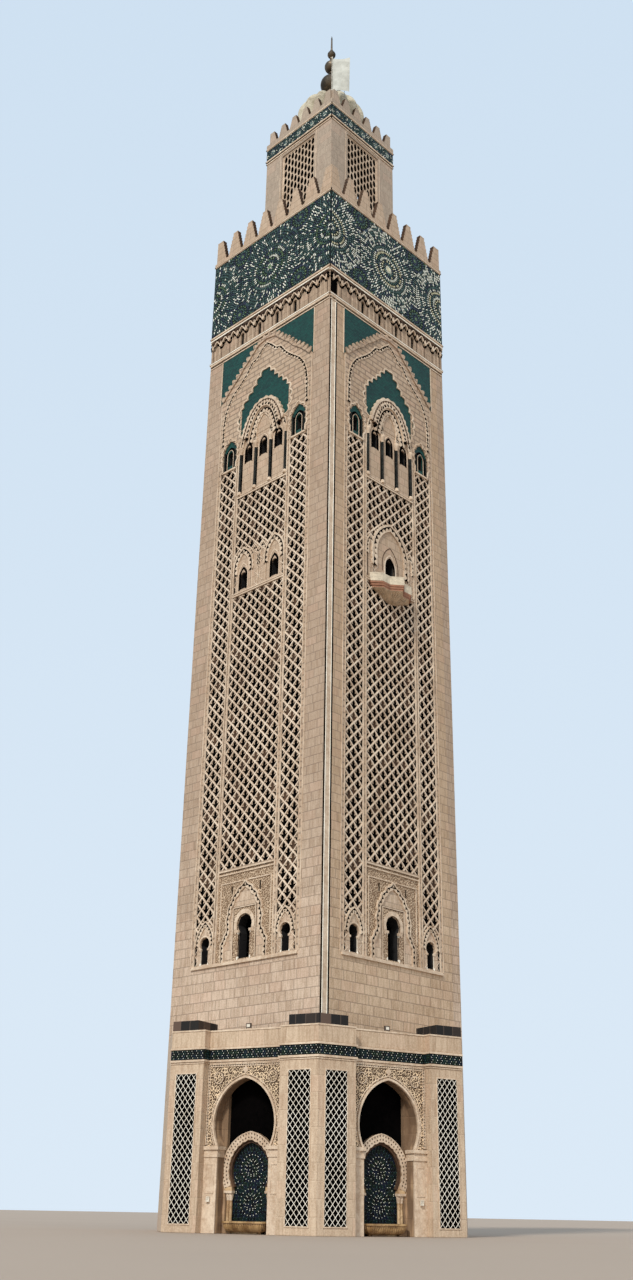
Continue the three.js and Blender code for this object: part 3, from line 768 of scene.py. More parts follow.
def pointed(
    half: float, spring: float, apex: float, count: int = ARC_POINTS, foot: float | None = None
) -> Array:
    """A pointed arch from left to right: two arcs, each centred on the springing line past the middle.

    Args:
        half: Half its width at the springing line.
        spring: Height of the springing line.
        apex: Height of its point.
        count: How many points each arc gets.
        foot: Height at which its straight legs end, or None where it has no legs.

    Returns:
        The arch's points.
    """
    rise = apex - spring
    past = (rise * rise - half * half) / (2 * half)
    turns = np.linspace(math.atan2(rise, past), 0.0, count)
    radius = half + past
    right = np.stack([radius * np.cos(turns) - past, spring + radius * np.sin(turns)], 1)
    if foot is not None:
        right = np.concatenate([right, [[half, foot]]])
    return both_sides(right)


def horseshoe(half: float, wide: float, apex: float, spring: float, grow: float) -> Array:
    """A pointed arch that draws in again below its widest level, from left to right, grown by a distance.

    Args:
        half: Half its width at its widest level.
        wide: Height of that level.
        apex: Height of its point.
        spring: Height at which its arcs end.
        grow: How far it is grown.

    Returns:
        The arch's points.
    """
    rise = apex - wide
    past = (rise * rise - half * half) / (2 * half)
    radius = half + past + grow
    top = math.acos(past / radius)
    low = -math.asin((wide - spring) / radius)
    turns = np.linspace(top, low, ARC_POINTS)
    return both_sides(np.stack([radius * np.cos(turns) - past, wide + radius * np.sin(turns)], 1))


def portal(half: float, foot: float, top: float) -> Array:
    """A path up, over and down again, as round a door."""
    return np.array([(-half, foot), (-half, top), (half, top), (half, foot)])


def gem(half_wide: float, half_high: float) -> Array:
    """The corners of a diamond round the origin."""
    return np.array([(half_wide, 0.0), (0.0, half_high), (-half_wide, 0.0), (0.0, -half_high)])


def disc(sides: int) -> Array:
    """The corners of an even polygon round the origin, one away from it."""
    turns = np.linspace(0, 2 * np.pi, sides, endpoint=False)
    return np.stack([np.cos(turns), np.sin(turns)], 1)


def ring_of(centre: Sequence[float], radius: float, count: int, shift: float) -> tuple[Array, Array]:
    """Even directions round a centre, moved on by a share of their step, and the spots there on a ring."""
    turns = (np.arange(count) + shift) * 2 * np.pi / count
    return turns, np.stack([centre[0] + radius * np.cos(turns), centre[1] + radius * np.sin(turns)], 1)


def facing_out(along: Array, across: Array, turns: Array) -> Array:
    """Outlines given along and across a ray, turned to each of many directions."""
    cosine, sine = np.cos(turns)[:, None], np.sin(turns)[:, None]
    return np.stack([along * cosine - across * sine, along * sine + across * cosine], 2)


def distances(spots: Array, centres: Array) -> Array:
    """Distances of each spot to all the centres."""
    return np.hypot(*(spots[:, None] - centres[None, :, :2]).transpose(2, 0, 1))


def scallops(count: int, lobes: float) -> Array:
    """Heights of a row of round lobes, between 0 and 1: the size of a sine."""
    return np.abs(np.sin(np.pi * lobes * np.linspace(0.0, 1.0, count)))


def left_of(path: Array, closed: bool = False) -> Array:
    """Mitred directions to the left of a path, at each of its points.

    Args:
        path: The path's points.
        closed: Whether its end joins its start.

    Returns:
        One direction for each point.
    """
    steps = np.diff(np.concatenate([path, path[:1]]) if closed else path, axis=0)
    steps = steps / np.maximum(np.hypot(*steps.T), 1e-9)[:, None]
    turned = np.stack([-steps[:, 1], steps[:, 0]], 1)
    if closed:
        before, after = np.roll(turned, 1, 0), turned
    else:
        before, after = np.concatenate([turned[:1], turned]), np.concatenate([turned, turned[-1:]])
    share = 1.0 + (before * after).sum(1, keepdims=True)
    return (before + after) / np.maximum(share, 0.35)


def seen_from(centre: Sequence[float], outline: Array, angles: Array) -> Array:
    """Points where rays from a centre meet an outline that is seen whole from there.

    Args:
        centre: The point that the rays start from.
        outline: Corners of the closed outline.
        angles: Directions of the rays, in radians.

    Returns:
        One point for each ray: of all the edges that it meets, the nearest crossing.
    """
    start = np.asarray(centre, float)
    ends = np.roll(outline, -1, 0)
    ray = np.stack([np.cos(angles), np.sin(angles)], 1)[:, None, :]
    edge = (ends - outline)[None, :, :]
    gap = (outline - start)[None, :, :]
    cross = ray[..., 0] * edge[..., 1] - ray[..., 1] * edge[..., 0]
    cross = np.where(np.abs(cross) < 1e-12, 1e-12, cross)
    reach = (gap[..., 0] * edge[..., 1] - gap[..., 1] * edge[..., 0]) / cross
    share = (gap[..., 0] * ray[..., 1] - gap[..., 1] * ray[..., 0]) / cross
    hit = (reach > 1e-9) & (share > -1e-6) & (share < 1 + 1e-6)
    nearest = np.where(hit, reach, 1e9).min(1)
    return start + ray[:, 0, :] * nearest[:, None]


class Relief:
    """Gathers surfaces in the frame of a side: across, up and out, in metres at full size."""

    def __init__(self) -> None:
        """Starts with no points and no faces."""
        self.points: list[Array] = []
        self.loops: list[Array] = []
        self.counts: list[Array] = []
        self.finishes: list[Array] = []
        self.total = 0

    def add(self, points: Array, faces: Array, finish: int | Array = 0) -> int:
        """Adds points and the faces on them, which all have the same number of corners.

        Args:
            points: Rows of across, up and out.
            faces: Rows of the numbers of the corners of each face.
            finish: Number of the faces' finish, or one for each face.

        Returns:
            The number of the first of the points.
        """
        start = self.total
        self.points.append(np.asarray(points, float).reshape(-1, 3))
        self.total += len(self.points[-1])
        self.join(start, faces, finish)
        return start

    def join(self, start: int, faces: Array, finish: int | Array = 0) -> None:
        """Adds faces on points that are there, whose corners are counted from a start.

        Args:
            start: Number of the first of those points.
            faces: The corners of each face, in rows.
            finish: One finish for all faces, or one for each.
        """
        self.loops.append((faces + start).ravel())
        self.counts.append(np.full(len(faces), faces.shape[1]))
        self.finishes.append(np.broadcast_to(np.asarray(finish), (len(faces),)))

    def grid(self, points: Array, finish: int | Array = 0, wrap: tuple[bool, bool] = (False, False)) -> None:
        """Adds a sheet of points in rows; wrap closes it over its rows, its columns or both.

        Args:
            points: The points, in rows and columns.
            finish: One finish for all faces, or one for each.
            wrap: Whether the last row joins the first, and the last column the first.
        """
        rows, columns = points.shape[:2]
        number = np.arange(rows * columns).reshape(rows, columns)
        if wrap[0]:
            number = np.concatenate([number, number[:1]])
        if wrap[1]:
            number = np.concatenate([number, number[:, :1]], 1)
        faces = np.stack([number[:-1, :-1], number[1:, :-1], number[1:, 1:], number[:-1, 1:]], -1)
        self.add(points, faces.reshape(-1, 4), finish)

    def cap(self, ring: Array, finish: int = 0) -> None:
        """Closes a ring of points with one face."""
        self.add(ring, np.arange(len(ring))[None, :], finish)

    def strip(
        self,
        path: Array,
        across: Sequence[float] | Array,
        out: Sequence[float] | Array,
        finish: int = 0,
        closed: bool = False,
    ) -> None:
        """Carries a closed section along a path.

        Args:
            path: Points of the path across and up.
            across: Distances of the section's corners to the left of the path, one row for each of its
                points or one for all. They start at the right and go over the top to the left.
            out: How far out those corners are, in the same layout.
            finish: Number of the finish.
            closed: Whether the path's end joins its start.
        """
        count = len(path)
        offsets = np.broadcast_to(np.asarray(across, float), (count, np.shape(across)[-1]))
        heights = np.broadcast_to(np.asarray(out, float), offsets.shape)
        sides = left_of(path, closed)
        flat = path[:, None, :] + sides[:, None, :] * offsets[..., None]
        points = np.concatenate([flat, heights[..., None]], 2)
        self.grid(points, finish, (closed, True))
        if not closed:
            self.cap(points[0][::-1], finish)
            self.cap(points[-1], finish)

    def bar(
        self, path: Array, width: float, back: float, front: float, finish: int = 0, closed: bool = False
    ) -> None:
        """Carries a flat bar along a path."""
        half = width / 2
        self.strip(path, (-half, -half, half, half), (back, front, front, back), finish, closed)

    def level(
        self, ends: tuple[float, float], at: float, width: float, back: float, front: float, finish: int = 0
    ) -> None:
        """Carries a flat bar across from end to end, at one height."""
        self.bar(np.array([(ends[0], at), (ends[1], at)]), width, back, front, finish)

    def upright(
        self, at: float, ends: tuple[float, float], width: float, back: float, front: float, finish: int = 0
    ) -> None:
        """Carries a flat bar straight up from end to end."""
        self.bar(np.array([(at, ends[0]), (at, ends[1])]), width, back, front, finish)

    def bead(self, path: Array, radius: float, back: float, finish: int = 0) -> None:
        """Carries a half-round along a path: its section is half a circle."""
        turns = np.linspace(0.0, np.pi, 6)
        self.strip(path, -radius * np.cos(turns), back + radius * np.sin(turns), finish)

    def lobed(
        self,
        path: Array,
        inner: float,
        outer: float,
        back: float,
        front: float,
        lobes: tuple[float, float],
        depth: float,
        finish: int = 0,
    ) -> None:
        """Carries a flat band whose edges are rows of round lobes.

        Args:
            path: Points of the path, which have to be close together.
            inner: Distance of the right edge to the left of the path.
            outer: Distance of the left edge.
            back: How far out the band's back is.
            front: How far out its front is.
            lobes: Number of lobes on the right and on the left edge, 0 for a plain edge.
            depth: How far the lobes stand out from their edge.
            finish: Number of the finish.
        """
        count = len(path)
        right = inner - depth * (scallops(count, lobes[0]) if lobes[0] else np.zeros(count))
        left = outer + depth * (scallops(count, lobes[1]) if lobes[1] else np.zeros(count))
        across = np.stack([right, right, left, left], 1)
        self.strip(path, across, (back, front, front, back), finish)

    def plate(
        self, outline: Array, back: float, front: float, finish: int = 0, side: int | None = None
    ) -> None:
        """Adds a flat plate of an outline whose corners run anticlockwise.

        Args:
            outline: Its corners, across and up.
            back: How far out its back is.
            front: How far out its front is.
            finish: Finish of its faces.
            side: Finish of its edges, where that is another one.
        """
        count = len(outline)
        low = np.column_stack([outline, np.full(count, back)])
        high = np.column_stack([outline, np.full(count, front)])
        self.grid(np.stack([high, low]), finish if side is None else side, (False, True))
        self.cap(high, finish)
        self.cap(low[::-1], finish)

    def pierced(
        self,
        outline: Array,
        hole: Array,
        centre: Sequence[float],
        back: float,
        front: float,
        finish: int = 0,
        count: int = 24,
        inside: int | None = None,
    ) -> None:
        """Adds a flat plate with a hole, both seen whole from a centre inside the hole.

        Args:
            outline: Corners of the plate.
            hole: Corners of the hole.
            centre: The point in the hole.
            back: How far out the plate's back is.
            front: How far out its front is.
            finish: Number of the finish.
            count: Number of even directions in which both are sampled.
            inside: Number of the finish of the hole's walls, if it is another one.
        """
        corners = [np.arctan2(*(shape - np.asarray(centre)).T[::-1]) for shape in (outline, hole)]
        even = np.linspace(-np.pi, np.pi, count, endpoint=False) + 0.0131
        angles = np.unique(np.round(np.concatenate([even, *corners]), 5))
        outer = seen_from(centre, outline, angles)
        inner = seen_from(centre, hole, angles)
        rings = [(outer, back), (outer, front), (inner, front), (inner, back)]
        points = np.stack([np.column_stack([ring, np.full(len(ring), out)]) for ring, out in rings], 1)
        tones = [finish, finish, finish if inside is None else inside, finish]
        self.grid(points, np.tile(tones, len(angles)), (True, True))

    def prisms(
        self, outlines: Array, back: Array | float, front: Array | float, finish: int | Array = 0
    ) -> None:
        """Adds many small plates at once.

        Args:
            outlines: Anticlockwise corners, as plates by corners by two.
            back: How far out each plate's back is.
            front: How far out each plate's front is.
            finish: Number of the finish, one for each plate or one for all.
        """
        number, corners = outlines.shape[:2]
        if number == 0:
            return
        low = np.broadcast_to(np.asarray(back, float).reshape(-1, 1), (number, corners))
        high = np.broadcast_to(np.asarray(front, float).reshape(-1, 1), (number, corners))
        points = np.concatenate(
            [np.dstack([outlines, low[..., None]]), np.dstack([outlines, high[..., None]])], 1
        )
        base = np.arange(number)[:, None, None] * (2 * corners)
        ring = np.arange(corners)
        ahead = (ring + 1) % corners
        walls = np.stack([ring, ahead, ahead + corners, ring + corners], 1)[None] + base
        tops = (ring + corners)[None, None, :] + base
        backs = ring[::-1][None, None, :] + base
        tone = np.broadcast_to(np.asarray(finish), (number,))
        start = self.add(points, walls.reshape(-1, 4), np.repeat(tone, corners))
        self.join(start, tops.reshape(-1, corners), tone)
        self.join(start, backs.reshape(-1, corners), tone)

    def studs(
        self, shape: Array, spots: Array, back: Array | float, front: Array | float, finish: int | Array = 0
    ) -> None:
        """Adds one small plate at each of many spots."""
        self.prisms(shape + np.asarray(spots)[:, None, :], back, front, finish)

    def boxes(self, low: Array, high: Array, finish: int = 0) -> None:
        """Adds boxes between lowest and highest corners given as rows of across, up and out.

        Args:
            low: The lowest corner of each.
            high: The highest corner of each.
            finish: Their finish.
        """
        low, high = np.atleast_2d(np.asarray(low, float)), np.atleast_2d(np.asarray(high, float))
        outlines = np.stack(
            [
                low[:, :2],
                np.column_stack([high[:, 0], low[:, 1]]),
                high[:, :2],
                np.column_stack([low[:, 0], high[:, 1]]),
            ],
            1,
        )
        self.prisms(outlines, low[:, 2], high[:, 2], finish)

    def turned(
        self,
        centre: Sequence[float],
        radii: Sequence[float] | Array,
        heights: Sequence[float] | Array,
        sides: int = 12,
        finish: int = 0,
        lobes: tuple[int, Sequence[float] | Array] = (0, 0.0),
    ) -> None:
        """Turns a section about an upright axis.

        Args:
            centre: Place of the axis across and out.
            radii: Radii of the section from its foot up.
            heights: Heights of the section.
            sides: Number of flat sides.
            finish: Number of the finish.
            lobes: Number of lobes round the axis, and how far the valleys between them are drawn in.
        """
        angles = np.linspace(0.0, 2 * np.pi, sides, endpoint=False)
        valley = 1.0 - np.abs(np.cos(angles * lobes[0] / 2))
        reach = np.asarray(radii, float)[:, None] - np.multiply.outer(
            np.broadcast_to(np.asarray(lobes[1], float), (len(radii),)), valley * (lobes[0] > 0)
        )
        points = np.stack(
            [
                centre[0] + reach * np.cos(angles),
                np.broadcast_to(np.asarray(heights, float)[:, None], reach.shape),
                centre[1] + reach * np.sin(angles),
            ],
            2,
        )
        self.stacked(points, finish)

    def column(self, spot: Sequence[float], sides: int, parts: Sequence[tuple]) -> None:
        """Adds a column's parts from the foot up, each with its radii, its heights and its finish."""
        for radii, heights, finish in parts:
            self.turned(spot, radii, heights, sides, finish)

    def stacked(self, rings: Array, finish: int = 0) -> None:
        """Joins rings that lie one over the other, and closes the first and the last.

        Args:
            rings: The rings, in rows of points.
            finish: Finish of all faces.
        """
        self.grid(rings, finish, (False, True))
        self.cap(rings[0], finish)
        self.cap(rings[-1][::-1], finish)

@dataclass(frozen=True)
class Place:
    """Where a side's frame stands on the model, at full size."""

    origin: tuple[float, float, float]
    across: tuple[float, float, float]
    out: tuple[float, float, float]

    @staticmethod
    def side(number: int, half: float = HALF) -> "Place":
        """The face of side 0 to 3, front, right, back and left, at a distance from the axis.

        Args:
            number: Number of the side.
            half: Its distance from the axis.

        Returns:
            The face's place.
        """
        turn = number * math.pi / 2
        out = (math.sin(turn), -math.cos(turn), 0.0)
        return Place(tuple(half * part for part in out), (math.cos(turn), math.sin(turn), 0.0), out)

    @staticmethod
    def middle() -> "Place":
        """The model's own frame: across is +X and out is -Y."""
        return Place((0.0, 0.0, 0.0), (1.0, 0.0, 0.0), (0.0, -1.0, 0.0))

    @staticmethod
    def wing(hand: int, turn: int) -> "Place":
        """A wing of the base, from the vertex outwards; hand 1 is the front one and turn 1 the far corner.

        Args:
            hand: 1 for the front and back wings, and -1 for the right and left ones.
            turn: 0 for the near corner, and 1 for the far one.

        Returns:
            The wing's place.
        """
        cosine, sine = math.cos(SPLAY), math.sin(SPLAY)
        origin, along, out = (BASE_VERTEX, -BASE_VERTEX), (-cosine, -sine), (sine, -cosine)
        if hand == -1:
            origin, along, out = ((-pair[1], -pair[0]) for pair in (origin, along, out))
        sign = 1.0 if turn == 0 else -1.0
        return Place(*(tuple(sign * part for part in pair) + (0.0,) for pair in (origin, along, out)))

    def put(self, points: Array) -> Array:
        """Points of the side's frame, in metres of the model."""
        axes = np.array([self.across, (0.0, 0.0, 1.0), self.out])
        return (points @ axes + np.array(self.origin)) * SCALE

    def mirrored(self) -> bool:
        """Whether the frame is left-handed, so that faces have to be turned round."""
        return bool(np.dot(np.cross(self.across, (0.0, 0.0, 1.0)), self.out) < 0)


@dataclass
class Piece:
    """One named piece of the model: surfaces, where they stand and what they are finished in."""

    name: str
    finishes: Sequence[Finish]
    parts: list[tuple[Relief, Place]] = field(default_factory=list)
    replaces: Sequence[str] = ()
    round_edges: float | None = None

    def made(self) -> bpy.types.Object:
        """Makes the mesh, gives it its finishes and hangs it on the model.

        Returns:
            The object, which rides on the model's one body.
        """
        points, loops, counts, tones = [], [], [], []
        total = 0
        for relief, place in self.parts:
            spots = place.put(np.concatenate(relief.points))
            corner = np.concatenate(relief.loops) + total
            sizes = np.concatenate(relief.counts)
            if place.mirrored():
                ends = np.cumsum(sizes)
                starts = ends - sizes
                within = np.arange(len(corner)) - np.repeat(starts, sizes)
                corner = corner[np.repeat(ends, sizes) - 1 - within]
            points.append(spots)
            loops.append(corner)
            counts.append(sizes)
            tones.append(np.concatenate(relief.finishes))
            total += len(spots)
        used, tone = np.unique(np.concatenate(tones), return_inverse=True)
        mesh = self.mesh(np.concatenate(points), np.concatenate(loops), np.concatenate(counts), tone.ravel())
        made = bpy.data.objects.new(self.name, mesh)
        bpy.context.scene.collection.objects.link(made)
        for number in used:
            mesh.materials.append(self.finishes[number].material())
        hang(made, self.replaces)
        return made

    def mesh(self, points: Array, loops: Array, counts: Array, tones: Array) -> bpy.types.Mesh:
        """Puts whole arrays into a mesh, leaving out faces that have no area.

        Args:
            points: The points, in rows of three.
            loops: The corners of all faces, one after the other.
            counts: How many corners each face has.
            tones: The finish of each face.

        Returns:
            The mesh.
        """
        starts = np.concatenate([[0], np.cumsum(counts)[:-1]])
        nexts = np.arange(len(loops)) + 1
        nexts[starts + counts - 1] = starts
        cross = np.cross(points[loops], points[loops[nexts]])
        area = np.linalg.norm(np.add.reduceat(cross, starts, axis=0), axis=1)
        keep = area > 2e-9
        kept = np.repeat(keep, counts)
        loops, counts, tones = loops[kept], counts[keep], tones[keep]
        mesh = bpy.data.meshes.new(self.name)
        mesh.vertices.add(len(points))
        mesh.vertices.foreach_set("co", points.astype(np.float32).ravel())
        mesh.loops.add(len(loops))
        mesh.loops.foreach_set("vertex_index", loops.astype(np.int32))
        mesh.polygons.add(len(counts))
        begins = np.concatenate([[0], np.cumsum(counts)[:-1]])
        mesh.polygons.foreach_set("loop_start", begins.astype(np.int32))
        mesh.polygons.foreach_set("material_index", tones.astype(np.int32))
        mesh.update(calc_edges=True)
        built = bmesh.new()
        built.from_mesh(mesh)
        bmesh.ops.remove_doubles(built, verts=built.verts, dist=2e-5)
        loose = [vertex for vertex in built.verts if not vertex.link_faces]
        bmesh.ops.delete(built, geom=loose, context="VERTS")
        built.to_mesh(mesh)
        built.free()
        mesh.polygons.foreach_set("use_smooth", np.full(len(mesh.polygons), self.round_edges is not None))
        if self.round_edges is not None:
            mesh.set_sharp_from_angle(angle=math.radians(self.round_edges))
        mesh.update()
        return mesh


def hang(made: bpy.types.Object, replaces: Sequence[str] = ()) -> None:
    """Lets a piece ride on the model and the nodes it stands for, and reports it.

    Args:
        made: The piece.
        replaces: Names of the nodes that it stands for.
    """
    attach(made, "root")
    if replaces:
        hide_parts(*replaces)
    log.info("%s: %d faces", made.name, len(made.data.polygons))


def within(spots: Array, outline: Array) -> Array:
    """Whether points lie inside a closed outline: a level ray from each crosses it an odd number of times.

    Args:
        spots: The points, in rows of two.
        outline: The outline's corners.

    Returns:
        True or false for each point.
    """
    x, z = spots[:, :1], spots[:, 1:]
    low, high = outline, np.roll(outline, -1, 0)
    rise = np.where(high[:, 1] == low[:, 1], 1e-9, high[:, 1] - low[:, 1])
    passes = (low[:, 1] > z) != (high[:, 1] > z)
    beyond = x < (high[:, 0] - low[:, 0]) * (z - low[:, 1]) / rise + low[:, 0]
    return (passes & beyond).sum(1) % 2 == 1


def rectangle(x0: float, z0: float, x1: float, z1: float) -> Array:
    """The corners of a rectangle, anticlockwise."""
    return np.array([(x0, z0), (x1, z0), (x1, z1), (x0, z1)], float)


def window(middle: float, sill: float, width: float, height: float, leg: float = 1.0) -> Array:
    """A window with a round head, and with legs narrower than the head where leg is below 1.

    Args:
        middle: Where its middle is.
        sill: Height of its sill.
        width: Width of its head.
        height: Height from sill to top.
        leg: Width of its legs, as a share of its head.

    Returns:
        The outline's points.
    """
    radius = width / 2
    turn = math.acos(leg)
    angles = np.linspace(-turn, math.pi + turn, ARC_POINTS)
    head = np.stack([middle + radius * np.cos(angles), sill + height - radius + radius * np.sin(angles)], 1)
    feet = [(middle - radius * leg, sill), (middle + radius * leg, sill)]
    return np.concatenate([feet, head])


def polygon(path: Array) -> Array:
    """The anticlockwise outline under a path that runs from left to right."""
    return np.asarray(path, float)[::-1]


def moved(path: Array, x: float, z: float = 0.0) -> Array:
    """A path moved across and up."""
    return np.asarray(path, float) + (x, z)


class Tone(int, Enum):
    """Finishes of carved work, in the order of CARVING."""

    STONE = 0
    SCROLL = 1
    PLAIN = 2
    # Painted shade: the next two stand for shade, black where it is deep and brown where it is soft.
    BLACK_SHADE = 3
    BROWN_SHADE = 4
    PLATE = 5
    MARBLE = 6
    GREEN = 7
    CREAM = 8
    WHITE = 9
    GROUND = 10
    TEAL = 11
    BLUE = 12
    LEAF = 13
    GOLD = 14
    ROWS = 15
    PALE = 16
    SPANDREL = 17
    BARS = 18


CARVING = (
    MOULDED, SCROLLS, PLAIN_STONE, PAINTED_BLACK_SHADE, PAINTED_BROWN_SHADE, LATTICE_PLATE, DARK_MARBLE, GREEN_FIELD,
    CREAM_MARBLE, WHITE_GLAZE, TILE_GROUND, TEAL_GLAZE, BLUE_GLAZE, LEAF_GLAZE, GOLD_GLAZE, FINE_ROWS,
    PALE_STONE, SPANDREL_SCROLLS, LATTICE_STONE,
)


def pitted(
    relief: Relief,
    path: Array,
    width: float,
    back: float,
    front: float,
    pitch: float = 0.5,
    pit: Tone = Tone.BLACK_SHADE,
) -> None:
    """Carries a moulding with a row of pits, their shade painted, between two scalloped bands along a path.

    Args:
        relief: What it is added to.
        path: Points of the path.
        width: Width of the moulding.
        back: How far out its back is.
        front: How far out its bands stand.
        pitch: Distance from pit to pit.
        pit: The tone behind the bands, painted shade.
    """
    run = np.hypot(*np.diff(path, axis=0).T).sum()
    lobes = max(3, round(run / pitch))
    fine = resampled(path, lobes * 6 + 1)
    half = width / 2
    # Painted shade: a bar in the pit tone behind the bands stands for the pits' shade.
    relief.bar(fine, width * 0.9, back, front - 0.06, pit)
    relief.lobed(fine, -half, -half + width * 0.12, back, front, (0, lobes), width * 0.5, Tone.STONE)
    relief.lobed(fine, half - width * 0.2, half, back, front, (0, lobes), width * 0.18, Tone.STONE)


# The shaft


class SideKind(Enum):
    """What a side carries at its middle storey."""

    PAIR = "a pair of windows"
    BALCONY = "a balcony"


HALF_LEAF = ((0, -0.64), (0.2, -0.42), (0.44, -0.12), (0.58, 0.13), (0.2, 0.0), (0.27, 0.28), (0, 0.62))


@dataclass
class Lattice:
    """Sunk diamonds with straight bars between them, each holding a leaf cut deep into it."""

    half_high: float = 0.78
    front: float = -0.03
    plate: float = -0.1
    floor: float = -0.185
    share: float = 0.86
    # Share of leaf floors painted black for deep shade; the rest are painted brown for softer shade.
    dark: float = 0.82
    seed: int = 11

    def rings(self, half_wide: float) -> Array:
        """Five rings of twelve points: the diamond, the edge of its plate twice, and the leaf twice.

        Args:
            half_wide: Half the width of the diamond.

        Returns:
            The rings, in rows of points.
        """
        corners = np.array([(0.0, -1.0), (1.0, 0.0), (0.0, 1.0), (-1.0, 0.0)])
        steps = np.roll(corners, -1, 0) - corners
        unit = (corners[:, None, :] + steps[:, None, :] * np.array([0, 1, 2])[:, None] / 3).reshape(-1, 2)
        diamond = unit * (half_wide, self.half_high)
        right = np.array(HALF_LEAF)
        leaf = np.concatenate([right, right[-2:0:-1] * (-1, 1)]) * (half_wide / 0.8, 1.0)
        return np.stack([diamond, diamond * self.share, diamond * self.share, leaf, leaf])

    def fill(
        self,
        relief: Relief,
        low: tuple[float, float],
        high: tuple[float, float],
        columns: int,
        clear: Sequence[Array] = (),
    ) -> None:
        """Fills a rectangle with diamonds.

        Args:
            relief: What the diamonds are added to.
            low: The rectangle's lowest corner.
            high: Its highest one.
            columns: Number of whole diamonds across it.
            clear: Outlines in which no diamond's middle may lie.
        """
        half_wide = (high[0] - low[0]) / (2 * columns)
        rows = math.ceil((high[1] - low[1]) / self.half_high)
        i, j = np.meshgrid(np.arange(2 * columns + 1), np.arange(rows + 1), indexing="ij")
        odd = (i + j) % 2 == 1
        centres = np.stack([low[0] + half_wide * i[odd], low[1] + self.half_high * j[odd]], 1)
        for outline in clear:
            centres = centres[~within(centres, outline)]
        flat = np.clip(centres[:, None, None, :] + self.rings(half_wide)[None], low, high)
        outs = np.array([self.front, self.front, self.plate, self.plate, self.floor])
        out = np.broadcast_to(outs[None, :, None, None], flat.shape[:3] + (1,))
        ring = np.arange(12)
        ahead = (ring + 1) % 12
        walls = [np.stack([ring, ahead, ahead + 12, ring + 12], 1) + 12 * step for step in range(4)]
        quads = np.stack(walls)
        base = np.arange(len(centres)) * 60
        # Painted shade: each leaf's floor is black or brown by chance, for the shade deep in the cut.
        chance = np.random.default_rng(self.seed).random(len(centres))
        pit = np.where(chance < self.dark, Tone.BLACK_SHADE, Tone.BROWN_SHADE)
        tones = np.stack([np.full_like(pit, Tone.BARS)] * 2 + [np.full_like(pit, Tone.PLATE), pit], 1)
        faces = quads[None] + base[:, None, None, None]
        start = relief.add(np.concatenate([flat, out], 3), faces.reshape(-1, 4), np.repeat(tones.ravel(), 12))
        relief.join(start, ring + 48 + base[:, None], pit)


# Lines of the carved work from the middle to the right, across and up, and its level mouldings and columns

LOW_LOBES = (
    (0, 37.9), (0.5, 37.5), (1.0, 37.3), (1.3, 36.8), (1.8, 36.5), (2.1, 35.8), (2.6, 35.2), (2.6, 34.5),
    (2.85, 33.8), (2.75, 33.0), (2.8, 32.3), (3.2, 31.8), (3.35, 31.3), (3.68, 31.0), (3.66, 30.0),
    (3.65, 28.75),
)
ROUND_ARCH = ((0, 107.0), (1.05, 106.7), (1.95, 105.95), (2.65, 104.8), (3.2, 103.5), (3.5, 102.4))
GLAZED_ARCH = (
    (0, 112.9), (1.15, 111.9), (1.9, 110.9), (2.7, 110.0), (3.6, 109.1), (4.3, 108.3), (4.8, 107.3),
    (5.0, 106.2), (4.9, 105.1), (4.55, 104.1), (4.1, 103.2),
)
HOOD_LINE = (
    (0, 117.4), (1.0, 116.6), (1.9, 115.6), (2.9, 115.3), (3.9, 113.9), (4.9, 112.9), (6.0, 112.0),
    (6.9, 111.2), (7.7, 110.0), (8.2, 108.6), (8.45, 106.8), (8.5, 103.4),
)
FIELD_LEVELS = (
    (39.9, 0.2, 0.05), (77.62, 0.18, 0.1), (77.95, 0.16, 0.06), (93.1, 0.2, 0.12), (93.45, 0.16, 0.06),
)
# The thin black level between the head mouldings is painted shade.
HEAD_LEVELS = (
    (118.85, 0.18, 0.08, Tone.STONE), (119.12, 0.12, 0.02, Tone.BLACK_SHADE), (119.42, 0.36, 0.14, Tone.STONE),
)
ARCADE_COLUMN = (
    ((0.3, 0.3, 0.2), (93.5, 93.85, 94.0), Tone.STONE),
    ((0.22, 0.2, 0.2), (94.0, 94.3, 100.1), Tone.MARBLE),
    ((0.24, 0.24, 0.42, 0.42), (100.1, 100.3, 100.9, 101.2), Tone.STONE),
)
HOOD_SLOPE = ((1.9, 118.2), (4.0, 116.2), (4.8, 115.6), (5.7, 114.5), (7.3, 113.2))


